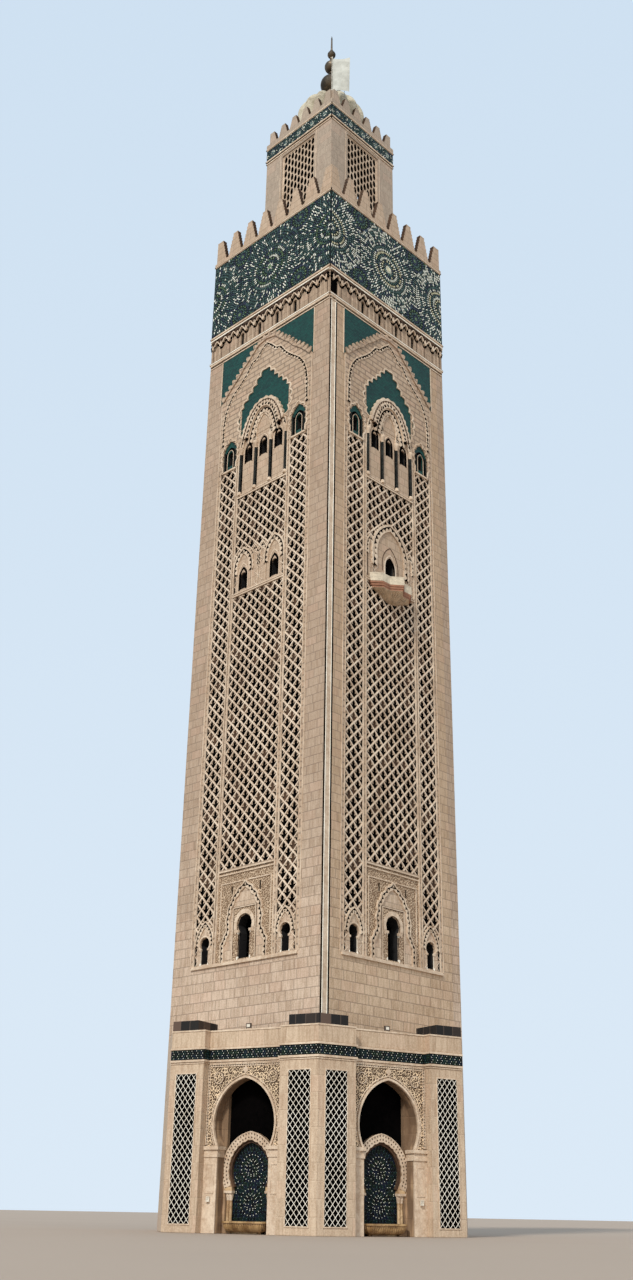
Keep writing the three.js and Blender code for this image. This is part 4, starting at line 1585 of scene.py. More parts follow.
@dataclass
class ShaftSide:
    """Everything carved on one side of the shaft; windows are given by sill, width, height and leg."""

    kind: SideKind
    centre_half: float = 4.8
    strip: tuple[float, float] = (5.45, 8.65)
    niche_at: float = 6.9
    foot: float = 28.75
    panel_top: float = 39.75
    middle_sill: float = 77.8
    arcade_sill: float = 93.3
    niche_foot: float = 98.6
    ground: float = -0.19
    low_window: tuple[float, ...] = (29.1, 2.56, 5.2, 0.78)
    strip_window: tuple[float, ...] = (29.1, 1.66, 3.2, 0.78)
    pair_window: tuple[float, ...] = (78.4, 1.06, 2.5)
    balcony_window: tuple[float, ...] = (79.7, 1.66, 2.5)
    arcade_window: tuple[float, ...] = (98.5, 1.06, 2.4)
    niche_window: tuple[float, ...] = (99.4, 1.06, 2.4)

    def lattice(self) -> Relief:
        """The lattice of the centre field and of the two strips.

        Returns:
            The relief of one side.
        """
        relief = Relief()
        grid = Lattice()
        half = self.centre_half
        grid.fill(relief, (-half, self.panel_top), (half, self.middle_sill), 6)
        grid.fill(relief, (-half, self.middle_sill), (half, self.arcade_sill), 6, self.middle_outlines())
        x0, x1 = self.strip
        arch = moved(self.strip_arch(), (x0 + x1) / 2)
        grid.fill(relief, (x0, self.foot), (x1, self.niche_foot), 2, [polygon(arch)])
        grid.fill(relief, (-x1, self.foot), (-x0, self.niche_foot), 2, [polygon(arch * (-1, 1))[::-1]])
        return relief

    def strip_arch(self) -> Array:
        """The pointed arch over a low side window, with feet."""
        return pointed(1.35, 31.3, 33.9, 14, self.foot)

    def middle_outlines(self) -> list[Array]:
        """Outlines of the blind arches of the middle storey.

        Returns:
            The outlines.
        """
        foot = 77.6
        if self.kind is SideKind.PAIR:
            arches = (
                (pointed(1.45, 81.7, 83.6, 14, foot), (-3.0, 3.0)),
                (pointed(0.72, 81.9, 83.4, 14, foot), (-0.75, 0.75)),
            )
        else:
            arches = (
                (pointed(3.15, 82.4, 86.8, 16, foot), (0.0,)),
                (pointed(0.75, 82.0, 83.6, 12, foot), (-4.05, 4.05)),
            )
        return [polygon(moved(arch, x)) for arch, middles in arches for x in middles]

    def low_panel(self) -> Relief:
        """The carved panel round the low windows, the arches over the strips' windows and the ledge.

        Returns:
            The relief of one side.
        """
        relief = Relief()
        self.low_centre(relief)
        for x in (-self.niche_at, self.niche_at):
            self.low_strip(relief, x)
        small = (0.55, 0.88, 30.72, 30.95)
        imposts = ((0.0, 0.86, 1.34, 32.15, 32.45), (-self.niche_at, *small), (self.niche_at, *small))
        for x, near, far, low, high in imposts:
            lows = [(x - far, low, self.ground), (x + near, low, self.ground)]
            relief.boxes(lows, [(x - near, high, 0.03), (x + far, high, 0.03)], Tone.STONE)
        relief.boxes((-9.05, 28.55, -0.1), (9.05, 28.8, 0.2), Tone.STONE)
        relief.boxes((-9.05, 28.8, -0.1), (9.05, 28.93, 0.1), Tone.STONE)
        return relief

    def low_centre(self, relief: Relief) -> None:
        """Adds the panel round the low middle window: lobed outline, square frame, wedge stones and columns.

        Args:
            relief: What they are added to.
        """
        half, foot, back = self.centre_half + 0.02, self.foot, self.ground
        lobe = both_sides(smooth(LOW_LOBES, 60))
        hole, eye = window(0, *self.low_window), (0.0, 32.5)
        panel = rectangle(-half, foot - 0.1, half, self.panel_top)
        relief.pierced(panel, hole, eye, back, -0.12, Tone.SCROLL)
        relief.pierced(polygon(lobe), hole, eye, back, -0.07, Tone.PLAIN)
        pitted(relief, lobe, 0.6, back, 0.08, 0.62)
        # Painted shade: the wider brown bar behind the frame stands for its shadow.
        for width, front, tone in ((0.24, -0.035, Tone.BROWN_SHADE), (0.12, 0.02, Tone.STONE)):
            relief.bar(portal(1.95, foot, 35.15), width, back, front, tone)
        relief.pierced(rectangle(-1.85, foot, 1.85, 35.05), hole, eye, back, -0.055, Tone.SCROLL)
        angles = np.linspace(-0.6, math.pi + 0.6, 16)
        ends = np.stack([np.cos(angles), np.sin(angles)], 1)
        inner, outer = ends * 1.33 + (0, 33.0), ends * (1.78, 1.85) + (0, 33.0)
        stones = np.stack([inner[:-1], outer[:-1], outer[1:], inner[1:]], 1)
        relief.prisms(stones, back, np.where(np.arange(len(stones)) % 2, 0.02, -0.01), Tone.STONE)
        radii, heights = (0.14, 0.14, 0.09, 0.09, 0.17, 0.17), (29.0, 29.3, 29.4, 31.9, 32.2, 32.4)
        for x in (-1.092, 1.092):
            relief.turned((x, -0.16), radii, heights, 10, Tone.PALE)
        relief.bar(portal(4.35, 31.5, 38.35), 0.14, back, -0.04, Tone.STONE)
        relief.level((-half, half), 39.45, 0.16, back, 0.0, Tone.STONE)
        # Painted shade: the slits are black.
        slits = [rectangle(x - 0.09, 36.9, x + 0.09, 37.9) for x in (-2.45, 2.45)]
        relief.prisms(np.stack(slits), back, -0.1, Tone.BLACK_SHADE)

    def low_strip(self, relief: Relief, x: float) -> None:
        """Adds the arch, ring and columns of a strip's low window.

        Args:
            relief: What they are added to.
            x: Middle of the window.
        """
        back = self.ground
        hole = window(x, *self.strip_window)
        relief.pierced(polygon(moved(self.strip_arch(), x)), hole, (x, 31.2), back, -0.06, Tone.PLAIN)
        pitted(relief, moved(pointed(1.35, 31.3, 33.9, 14), x), 0.6, back, 0.08, 0.5)
        relief.bar(moved(horseshoe(0.93, 31.45, 32.38, 30.8, 0.06), x), 0.18, back, 0.02, Tone.STONE)
        radii, heights = (0.11, 0.11, 0.07, 0.07, 0.13, 0.13), (29.0, 29.2, 29.3, 30.6, 30.8, 31.0)
        for post in (x - 0.7, x + 0.7):
            relief.turned((post, -0.14), radii, heights, 8, Tone.PALE)

    def frames(self) -> Relief:
        """The plain mouldings between the fields, and the frame round them all.

        Returns:
            The relief of one side.
        """
        relief = Relief()
        foot, back, proud = self.foot, self.ground, -0.05
        uprights = (
            (4.9, (foot, 101.0), 0.16, back, 0.06),
            (5.36, (foot, self.niche_foot), 0.16, back, 0.06),
            (8.72, (foot, self.niche_foot), 0.12, back, 0.05),
            (9.25, (28.93, 110.9), 0.12, proud, 0.06),
            (9.6, (110.9, 119.0), 0.14, proud, 0.08),
        )
        for side in (-1, 1):
            for at, ends, width, low, front in uprights:
                relief.upright(side * at, ends, width, low, front, Tone.STONE)
        for z, width, front in FIELD_LEVELS:
            relief.level((-4.9, 4.9), z, width, back, front, Tone.STONE)
        for z, width, front, tone in HEAD_LEVELS:
            relief.level((-12.4, 12.4), z, width, proud, front, tone)
        return relief

    def middle(self) -> Relief:
        """The blind arches of the middle storey: round a pair of windows, or round the balcony's opening."""
        return self.pair() if self.kind is SideKind.PAIR else self.balcony_arch()

    def pair(self) -> Relief:
        """The two windows' arches, and the slim blind arches between them.

        Returns:
            The relief of one side.
        """
        relief = Relief()
        back, foot = self.ground, 77.7
        for x in (-3.0, 3.0):
            arch = moved(pointed(1.45, 81.7, 83.6, 14, foot), x)
            relief.pierced(polygon(arch), window(x, *self.pair_window), (x, 80.3), back, -0.06, Tone.PLAIN)
            pitted(relief, moved(pointed(1.5, 81.7, 84.2, 14, 80.8), x), 0.8, back, 0.08, 0.75)
            # Painted shade: a wide black ring round each window stands for the deep reveal.
            relief.bar(moved(pointed(0.66, 80.3, 81.55, 12, 78.3), x), 0.34, back, -0.05, Tone.BLACK_SHADE)
            relief.bar(moved(pointed(0.92, 80.5, 82.3, 12, 78.0), x), 0.12, back, -0.02, Tone.STONE)
        for x in (-0.75, 0.75):
            relief.plate(polygon(moved(pointed(0.72, 81.9, 83.4, 12, foot), x)), back, -0.07, Tone.PLAIN)
            pitted(relief, moved(pointed(0.7, 82.1, 84.0, 12, 81.0), x), 0.5, back, 0.02, 0.6)
            relief.boxes((x - 0.62, 78.0, back), (x - 0.5, 82.0, -0.02), Tone.STONE)
            relief.boxes((x + 0.5, 78.0, back), (x + 0.62, 82.0, -0.02), Tone.STONE)
        return relief

    def balcony_arch(self) -> Relief:
        """The wide arch over the balcony's opening, with rings round it, and slim blind arches beside it.

        Returns:
            The relief of one side.
        """
        relief = Relief()
        back, foot = self.ground, 77.7
        hole = window(0, *self.balcony_window)
        relief.pierced(polygon(pointed(3.15, 82.4, 86.8, 16, foot)), hole, (0, 81.2), back, -0.06, Tone.PLAIN)
        pitted(relief, pointed(3.2, 82.4, 86.9, 20, 80.2), 0.9, back, 0.12, 0.85)
        relief.bar(pointed(1.09, 80.8, 82.8, 14, 79.0), 0.18, back, -0.02, Tone.BARS)
        # Painted shade: a brown ring, a black ring round the opening, black below its sill, and a brown line
        # on one side of each slim arch.
        relief.bar(pointed(1.6, 81.1, 83.9, 14, 80.0), 0.1, back, -0.02, Tone.BROWN_SHADE)
        relief.bar(pointed(0.92, 80.7, 82.3, 14, 79.3), 0.2, back, -0.045, Tone.BLACK_SHADE)
        relief.boxes((-0.85, foot, back), (0.85, self.balcony_window[0], -0.045), Tone.BLACK_SHADE)
        for x in (-4.05, 4.05):
            relief.plate(polygon(moved(pointed(0.72, 82.0, 83.6, 12, foot), x)), back, -0.07, Tone.PLAIN)
            pitted(relief, moved(pointed(0.6, 82.4, 84.0, 12, 81.4), x), 0.5, back, 0.08, 0.6)
            relief.boxes((x - 0.5, 78.0, back), (x - 0.36, 82.0, -0.05), Tone.BROWN_SHADE)
        return relief

    def arcade(self) -> Relief:
        """The three windows under the glazed field, with their slim columns and interlaced arches.

        Returns:
            The relief of one side.
        """
        relief = Relief()
        back = self.ground
        for x in (-3.0, 0.0, 3.0):
            left, right = x - 1.5 - 0.3 * (x < 0), x + 1.5 + 0.3 * (x > 0)
            panel = rectangle(left, self.arcade_sill, right, 103.2)
            relief.pierced(panel, window(x, *self.arcade_window), (x, 99.8), back, -0.07, Tone.PLAIN)
            # Painted shade: black rings round the windows.
            relief.bar(moved(pointed(0.64, 100.3, 101.4, 10, 98.4), x), 0.32, back, -0.06, Tone.BLACK_SHADE)
            relief.bar(moved(pointed(0.88, 100.5, 101.8, 10, 98.3), x), 0.1, back, -0.01, Tone.STONE)
        for x in (-4.5, -1.5, 1.5, 4.5):
            # Painted shade: black behind each column.
            relief.boxes((x - 0.36, 93.5, back), (x + 0.36, 100.2, -0.05), Tone.BLACK_SHADE)
            relief.column((x, 0.0), 10, ARCADE_COLUMN)
        arch = self.round_arch()
        relief.plate(polygon(arch), back, -0.03, Tone.PLAIN)
        arches = ((-3.0, 1.35, 101.2, 103.7), (3.0, 1.35, 101.2, 103.7), (0, 1.75, 102.4, 105.6))
        for x, half, spring, apex in arches:
            pitted(relief, moved(pointed(half, spring, apex, 14, 101.2), x), 0.66, back, 0.12, 0.75)
        pitted(relief, arch * (0.74, 1.0) - (0, 1.15), 0.9, back, 0.2, 0.75)
        pitted(relief, arch, 1.35, back, 0.4, 0.9, Tone.BROWN_SHADE)
        relief.lobed(resampled(arch, 120), 0.02, 0.16, back, 0.36, (24, 24), 0.14, Tone.STONE)
        # Painted shade: rows of black and brown studs for the pits along the round arch.
        rows = ((0.9, -0.34, 19, Tone.BLACK_SHADE, 1.0), (1.08, 0.26, 23, Tone.BROWN_SHADE, 0.8))
        for wide, lift, count, tone, size in rows:
            spots = resampled(arch * (wide, 1.0) + (0, lift), count)
            relief.studs(gem(0.2, 0.27) * size, spots, back, 0.415, tone)
        return relief

    @staticmethod
    def round_arch() -> Array:
        """The round arch between the arcade and the glazed field."""
        return both_sides(smooth(ROUND_ARCH, 30))

    @staticmethod
    def glazed_arch() -> Array:
        """The many-lobed outer edge of the glazed field.

        Returns:
            The edge's points.
        """
        fine = resampled(smooth(GLAZED_ARCH, 80), 91)
        lobes = scallops(91, 9)[:, None] * 0.5
        return both_sides(fine + left_of(fine) * lobes)

    def hood(self) -> Relief:
        """The carved ground under the hood, cut round the arcade and the niches, and the hood's moulding.

        Returns:
            The relief of one side.
        """
        relief = Relief()
        foot, inner, arch = self.niche_foot, 4.75, self.glazed_arch()
        niche = np.array([
            (5.5, foot), (5.5, 102.0), (6.0, 102.9), (6.9, 103.6), (7.8, 102.9), (8.3, 102.0), (8.3, foot)
        ])
        edge = both_sides([(0, 118.6), *HOOD_SLOPE, (9.15, 111.3), (9.15, foot)])
        middle = [(-inner, foot), (-inner, 102.5)], arch, [(inner, 102.5), (inner, foot)]
        outline = np.concatenate([edge[:1], niche[::-1] * (-1, 1), *middle, niche, edge[:0:-1]])
        relief.plate(outline, self.ground, 0.05, Tone.ROWS)
        relief.lobed(resampled(edge[1:-1], 301), -0.35, -0.15, 0.0, 0.22, (0, 24), 0.75, Tone.ROWS)
        line = both_sides(HOOD_LINE)
        pitted(relief, line, 0.52, 0.0, 0.12, 0.9)
        # Painted shade: black studs along the hood line for its pits.
        relief.studs(gem(0.28, 0.17), resampled(line, 52), 0.0, 0.135, Tone.BLACK_SHADE)
        relief.lobed(resampled(arch, 181), -0.02, 0.2, -0.1, 0.1, (0, 0), 0.0, Tone.STONE)
        for x in (-self.niche_at, self.niche_at):
            self.niche(relief, x)
        return relief

    def niche(self, relief: Relief, x: float) -> None:
        """Adds a glazed side niche with its many-lobed head, its window's frame, sill and columns.

        Args:
            relief: What they are added to.
            x: Middle of the niche.
        """
        foot = self.niche_foot
        head = resampled(both_sides([(0, 103.5), (0.8, 102.9), (1.3, 102.0), (1.3, 99.6)]), 121)
        head = moved(head + left_of(head) * (scallops(121, 9)[:, None] * 0.34), x)
        head = np.concatenate([[(x - 1.3, foot)], head, [(x + 1.3, foot)]])
        relief.lobed(resampled(head, 200), 0.0, 0.22, 0.0, 0.14, (0, 0), 0.0, Tone.STONE)
        relief.pierced(polygon(head), window(x, *self.niche_window), (x, 100.8), -0.3, -0.12, Tone.GREEN)
        # Painted shade: a wide black ring round the window.
        relief.bar(moved(pointed(0.79, 101.2, 102.3, 8, foot), x), 0.5, -0.2, -0.1, Tone.BLACK_SHADE)
        relief.bar(moved(pointed(0.62, 101.2, 102.1, 8, foot), x), 0.07, -0.2, -0.04, Tone.STONE)
        relief.boxes((x - 1.45, foot - 0.15, -0.1), (x + 1.45, foot + 0.1, 0.14), Tone.STONE)
        for post in (x - 1.1, x + 1.1):
            relief.turned((post, -0.02), (0.16, 0.1, 0.1, 0.18), (98.7, 98.9, 101.4, 101.8), 8, Tone.MARBLE)

    def fields(self) -> Relief:
        """The glazed field over the arcade and the two corner fields of the hood.

        Returns:
            The relief of one side.
        """
        relief = Relief()
        relief.plate(polygon(self.glazed_arch()), -0.34, -0.05, Tone.GREEN)
        corner = np.array([(9.52, 110.9), (9.52, 118.75), (1.9, 118.75), *HOOD_SLOPE])
        relief.plate(corner, -0.34, 0.02, Tone.GREEN)
        relief.plate(corner[::-1] * (-1, 1), -0.34, 0.02, Tone.GREEN)
        return relief

    @staticmethod
    def grooves() -> Relief:
        """The two upright joints of the left-hand corner, their shade painted black, each with a thin light
        edge.

        Returns:
            The relief of one side.
        """
        relief = Relief()
        foot, top = 18.95, 119.55
        relief.boxes((-12.15, foot, -0.05), (-11.2, top, 0.012), Tone.STONE)
        # Painted shade: black in the corner's notch at the gallery, and in and over both slots.
        relief.boxes((-12.3, 120.1, -0.05), (-11.1, 123.6, 0.03), Tone.BLACK_SHADE)
        for low, high, edge in ((-12.345, -12.155, -12.08), (-11.195, -11.005, -11.28)):
            relief.boxes((low, foot, -0.4), (high, top, -0.03), Tone.BLACK_SHADE)
            relief.boxes((low - 0.05, foot, -0.05), (high + 0.05, top, 0.007), Tone.BLACK_SHADE)
            relief.bead(np.array([(edge, foot), (edge, top)]), 0.065, -0.005, Tone.PALE)
        return relief

    def build(self, sides: Sequence[tuple[int, str]]) -> list[Piece]:
        """Makes the pieces of all the sides of this kind.

        Args:
            sides: Numbers of the sides and their names.

        Returns:
            The pieces, not yet made.
        """
        parts = {
            "carved_lattice": self.lattice(),
            "low_window_panel": self.low_panel(),
            "field_frames": self.frames(),
            "middle_arches": self.middle(),
            "arcade": self.arcade(),
            "hood": self.hood(),
            "glazed_fields": self.fields(),
        }
        if self.kind is SideKind.BALCONY:
            parts["corner_grooves"] = self.grooves()
        return [
            Piece(f"{side}_{name}", CARVING, [(relief, Place.side(number))])
            for number, side in sides
            for name, relief in parts.items()
        ]


# The head of the shaft


@dataclass
class Balcony:
    """A balcony whose front steps out to a point, on mouldings and a fluted foot that narrows to the wall."""

    corners: Sequence[tuple[float, float]] = ((0.0, 2.4), (1.45, 1.2), (2.9, 1.2), (4.1, 0.05))
    flutes: int = 20
    foot: float = 75.5
    flutes_top: float = 76.6
    floor: float = 77.7
    rail: float = 78.7
    buried: float = -0.34
    ledges: Sequence[tuple[float, float]] = (
        (0.89, 76.7), (0.9, 76.95), (0.94, 76.97), (0.95, 77.25), (0.985, 77.27), (0.99, 77.5), (1.0, 77.52),
    )

    def section(self) -> list[tuple[float, float, float]]:
        """From the foot up: the plan's share, the height, and how far the wall of the rail is drawn in.

        Returns:
            Those three values for each ring.
        """
        foot = [(0.1 + 0.74 * t**0.9, self.foot + 1.15 * t**1.1, 0.0) for t in np.linspace(0, 1, 9)]
        ledges = [(share, height, 0.0) for share, height in self.ledges]
        rail = [(1.0, 78.55, 0.0), (1.01, 78.58, 0.0), (1.01, self.rail, 0.0), (1.0, self.rail, 0.24)]
        return [*foot, *ledges, *rail, (1.0, self.floor, 0.25)]

    def relief(self) -> Relief:
        """Rings of the plan, drawn in towards the wall, from the foot up over the rail to the floor.

        Returns:
            The relief of one balcony.
        """
        relief = Relief()
        count = 8 * self.flutes + 1
        plan = resampled(both_sides(self.corners), count)
        groove = 1 - scallops(count, self.flutes)
        inward = -left_of(plan)
        rows = []
        for share, height, inset in self.section():
            deep = 0.3 * share * (height < self.flutes_top)
            ring = plan * share + inward * (inset + deep * groove)[:, None]
            ring[:, 1] = np.maximum(ring[:, 1], 0.0)
            ring = np.concatenate([[(ring[0, 0], self.buried)], ring, [(ring[-1, 0], self.buried)]])
            rows.append(np.column_stack([ring[:, 0], np.full(len(ring), height), ring[:, 1]]))
        relief.stacked(np.array(rows)[:, ::-1])
        return relief


@dataclass
class Gallery:
    """The row of hanging arches round the gallery, with thin posts under them."""

    pitch: float = 1.85
    foot: float = 119.95
    low: float = 122.2
    high: float = 123.8
    back: float = -0.02
    front: float = 0.24

    def relief(self) -> Relief:
        """One side's arches with their rims, painted holes and painted shadows, the posts and the frames of
        the windows.

        Returns:
            The relief of one side.
        """
        relief = Relief()
        back, half = self.back, 6.5 * self.pitch
        arch = both_sides([(0.0, 1.15), (0.28, 0.9), (0.4, 0.62), (0.62, 0.5), (0.7, 0.2), (0.86, 0.0)])
        foot = np.concatenate([moved(arch + (0, self.low), x) for x in np.arange(-6, 7) * self.pitch])
        outline = np.array([*foot, (half, self.high), (-half, self.high)])
        # Painted shade: the arches' plate and the posts are brown, and a black strip under the rim stands for
        # its shadow.
        relief.plate(outline, back, self.front, Tone.BROWN_SHADE)
        rim = self.front + 0.06
        relief.strip(foot, (-0.36, -0.36, -0.04, -0.04), (back, 0.015, 0.015, back), Tone.BLACK_SHADE)
        relief.strip(foot, (-0.04, -0.04, 0.12, 0.12), (back, rim, rim, back), Tone.STONE)
        posts = (np.arange(-7, 7) + 0.5) * self.pitch
        low = np.column_stack([posts - 0.06, np.full(14, self.foot), np.full(14, back)])
        high = np.column_stack([posts + 0.06, np.full(14, self.low), np.full(14, 0.012)])
        relief.boxes(low, high, Tone.BROWN_SHADE)
        self.cuts(relief, posts)
        for x in np.arange(-3, 4) * 2 * self.pitch:
            for edge in (x - 0.42, x + 0.42):
                relief.boxes((edge - 0.04, self.foot, back), (edge + 0.04, self.low + 0.7, 0.03), Tone.STONE)
        for z, front, tone in ((123.9, 0.34, Tone.PALE), (124.15, 0.22, Tone.STONE), (119.7, 0.2, Tone.PALE)):
            relief.level((-HALF, HALF), z, 0.14, back, front, tone)
        return relief

    def cuts(self, relief: Relief, posts: Array) -> None:
        """Adds the keels over the posts, and black plates between the arches that stand for the holes' shade.

        Args:
            relief: What they are added to.
            posts: Middles of the posts.
        """
        keel = np.array([(0.0, 0.1), (0.09, 0.3), (0.09, 0.75), (0.0, 0.95), (-0.09, 0.75), (-0.09, 0.3)])
        eye = disc(6) * (0.2, 0.27)
        slot = rectangle(-0.4, 0.98, 0.4, 1.16)
        wedge = np.array([(-0.62, 1.52), (0.0, 1.2), (0.62, 1.52)])
        between = posts[1:] - self.pitch / 2
        shapes = (
            (keel, posts, 0.08, Tone.STONE),
            (moved(eye, 0.25, 0.5), posts, 0.015, Tone.BLACK_SHADE),
            (moved(eye, -0.25, 0.5), posts, 0.015, Tone.BLACK_SHADE),
            (slot, posts, 0.015, Tone.BLACK_SHADE),
            (wedge, between, 0.015, Tone.BLACK_SHADE),
        )
        for shape, middles, proud, tone in shapes:
            relief.studs(shape, [(x, self.low) for x in middles], 0.0, self.front + proud, tone)


@dataclass
class TileBand:
    """A band of cut tiles: rings of chips round rosettes and small stars, between two mouldings."""

    half: float
    low: float
    high: float
    rosettes: Sequence[tuple[float, float]]
    stars: Sequence[tuple[float, float]]
    ring: float = 0.46
    chip: float = 0.5
    edge: float = 0.3
    reach: float = 6.6
    star_reach: float = 1.9
    core: Tone = Tone.GOLD
    share: float = 0.42
    rings_out: float = 12.0
    around: int = 16

    def chips(self) -> tuple[Array, Array]:
        """Kites in rings round each centre; a chip stays with the centre that is nearest for its size.

        Returns:
            The kites' corners and their tones.
        """
        centres = [(x, z, self.reach, 0) for x, z in self.rosettes]
        centres += [(x, z, self.star_reach, 1) for x, z in self.stars]
        outlines, tones = [], []
        rng = np.random.default_rng(5)
        places = np.array([centre[:3] for centre in centres])
        kite = np.array([(1.0, 0.0), (0.0, 1.0), (-0.6, 0.0), (0.0, -1.0)])
        for number, (x, z, _, star) in enumerate(centres):
            for step in range(1, int(self.rings_out / self.ring)):
                radius = step * self.ring
                count = self.around * max(1, round(2 * math.pi * radius / (self.around * self.ring * 0.8)))
                turn, spot = ring_of((x, z), radius, count, 0.5 * (step % 2))
                keep = (distances(spot, places) - places[:, 2]).argmin(1) == number
                keep &= self.inside(spot)
                turn, spot = turn[keep], spot[keep]
                if not len(spot):
                    continue
                wide = min(self.chip * 0.23, math.pi * radius / count * 0.8)
                size = self.chip * (0.62 + 0.1 * (step % 3)) * rng.uniform(0.6, 1.1, len(spot))[:, None]
                outlines.append(spot[:, None, :] + facing_out(kite[:, 0] * size, kite[:, 1] * wide, turn))
                tones.append(self.tones(rng.random(len(spot)), step, bool(star), radius))
        return np.concatenate(outlines), np.concatenate(tones)

    def inside(self, spots: Array) -> Array:
        """Whether spots lie between the mouldings and clear of the band's ends.

        Args:
            spots: The spots, in rows of two.

        Returns:
            True or false for each spot.
        """
        margin = self.edge + 0.2
        level = (spots[:, 1] > self.low + margin) & (spots[:, 1] < self.high - margin)
        return level & (np.abs(spots[:, 0]) < self.half - 0.1)

    def tones(self, chance: Array, step: int, star: bool, radius: float) -> Array:
        """Tones of one ring: white, teal and blue by chance, more even in a rosette's middle and in a star.

        Args:
            chance: A number from 0 to 1 for each chip.
            step: Number of the ring.
            star: Whether it goes round a star.
            radius: Radius of the ring.

        Returns:
            One tone for each chip.
        """
        tone = np.where(chance < self.share, Tone.WHITE, Tone.TEAL)
        tone[chance > 0.84] = Tone.BLUE
        if star:
            tone[:] = (Tone.LEAF, Tone.BLUE, Tone.TEAL)[step % 3]
        elif radius < self.reach * 0.62:
            tone[chance < 0.4 + self.share] = (self.core, Tone.WHITE, Tone.TEAL)[step % 3]
        return tone

    def relief(self) -> Relief:
        """One side's chips, the discs in the rosettes' middles and the mouldings.

        Returns:
            The relief of one side.
        """
        relief = Relief()
        outlines, tones = self.chips()
        relief.prisms(outlines, -0.01, 0.035, tones)
        star = np.where(np.arange(16) % 2, 0.55, 1.0)[:, None] * disc(16)
        for x, z in self.rosettes:
            if abs(x) < self.half - 1:
                relief.plate(moved(star * self.ring * 1.05, x, z), -0.01, 0.05, self.core)
        for x, z in self.stars:
            relief.plate(moved(star * self.ring * 0.8, x, z), -0.01, 0.05, Tone.LEAF)
        wide, thin = (0.2, 0.12), (0.1, 0.06)
        feet = ((self.low + 0.1, wide), (self.low + 0.28, thin))
        rails = (*feet, (self.high - 0.28, thin), (self.high - 0.1, wide))
        for z, (width, front) in rails:
            relief.level((-self.half - front, self.half + front), z, width, -0.01, front, Tone.STONE)
        return relief


@dataclass
class Lantern:
    """The open screens of the lantern and the mouldings of its walls."""

    half: float = 3.68
    low: float = 141.22
    high: float = 160.08
    back: float = -0.59
    front: float = -0.26
    columns: int = 9
    rows: int = 12
    rim: float = 0.25

    def screen(self) -> Relief:
        """One screen of pierced stone: every cell has a hole shaped as a drop, in staggered columns.

        Returns:
            The relief of one side.
        """
        relief = Relief()
        half = self.half - self.rim
        wide, low = 2 * half / self.columns, self.low + self.rim
        tall = (self.high - self.low - 2 * self.rim) / self.rows
        angles = np.linspace(0, 2 * np.pi, 12, endpoint=False)
        swell = np.sin(angles) * np.abs(np.cos(angles / 2)) ** 0.3
        drop = np.stack([0.44 * wide * swell, -0.45 * tall * np.cos(angles)], 1)[::-1]
        for column in range(self.columns):
            x0 = -half + column * wide
            shift = 0.5 * tall * (column % 2)
            levels = low - shift + tall * np.arange(self.rows + 2)
            edges = np.unique(np.round(np.clip(levels, low, low + self.rows * tall), 4))
            for z0, z1 in zip(edges[:-1], edges[1:]):
                middle = (x0 + wide / 2, (z0 + z1) / 2)
                hole = moved(drop * (1.0, (z1 - z0) / tall), *middle)
                cell = rectangle(x0, z0, x0 + wide, z1)
                # Painted shade: the walls of each hole are black.
                relief.pierced(cell, hole, middle, self.back, self.front, Tone.PLATE, 5, Tone.BLACK_SHADE)
        edge = 0.12
        rim = rectangle(-self.half + edge, self.low + edge, self.half - edge, self.high - edge)
        relief.bar(rim, 0.26, self.back, self.front + 0.06, Tone.STONE, True)
        return relief

    @staticmethod
    def trim() -> Relief:
        """The light frame round a screen and the mouldings under the band.

        Returns:
            The relief of one side.
        """
        relief = Relief()
        relief.bar(portal(4.05, 139.2, 160.45), 0.1, -0.05, 0.04, Tone.STONE)
        # Painted shade: the thin black level under the band.
        for z, width, front, tone in ((160.75, 0.22, 0.1, Tone.STONE), (161.02, 0.14, 0.03, Tone.BLACK_SHADE)):
            relief.level((-LANTERN_HALF - front, LANTERN_HALF + front), z, width, -0.05, front, tone)
        return relief


@dataclass
class Merlons:
    """A rail with stepped merlons on it; the outer ones are plain towards the corner."""

    half: float
    foot: float
    rail: float
    top: float
    count: int
    span: float
    wide: float
    tip: float
    plain: float
    steps: int = 7
    thick: float = 0.7

    def relief(self) -> Relief:
        """One side's rail and merlons, their narrow sides brown with painted shade.

        Returns:
            The relief of one side.
        """
        relief = Relief()
        inner, outer = self.thick + 0.15, 0.15
        relief.boxes((-self.half, self.foot, -inner), (self.half - inner, self.foot + self.rail, 0.0), 0)
        reach = np.repeat(np.linspace(self.wide, self.tip, self.steps) / 2, 2)
        levels = np.repeat(np.linspace(self.foot + self.rail / 2, self.top, self.steps + 1), 2)[1:-1]
        stepped = np.stack([reach, levels], 1)
        plain = np.stack([np.full(2, self.plain), levels[[0, -1]]], 1)
        for number, x in enumerate(np.linspace(-self.span, self.span, self.count)):
            right = plain if number == self.count - 1 else stepped
            left = plain if number == 0 else stepped
            outline = np.concatenate([right, (left * (-1, 1))[::-1]])
            # Painted shade: finish 1, on the merlons' edges, is the brown shade finish.
            relief.plate(moved(outline, x), -inner, -outer, 0, 1)
            edges = [x - self.plain] * (number == 0) + [x + self.plain] * (number == self.count - 1)
            for edge in edges:
                low = (edge - 0.03, levels[0], -inner - 0.01)
                relief.boxes(low, (edge + 0.03, self.top + 0.01, 0.01 - outer), 0)
        return relief


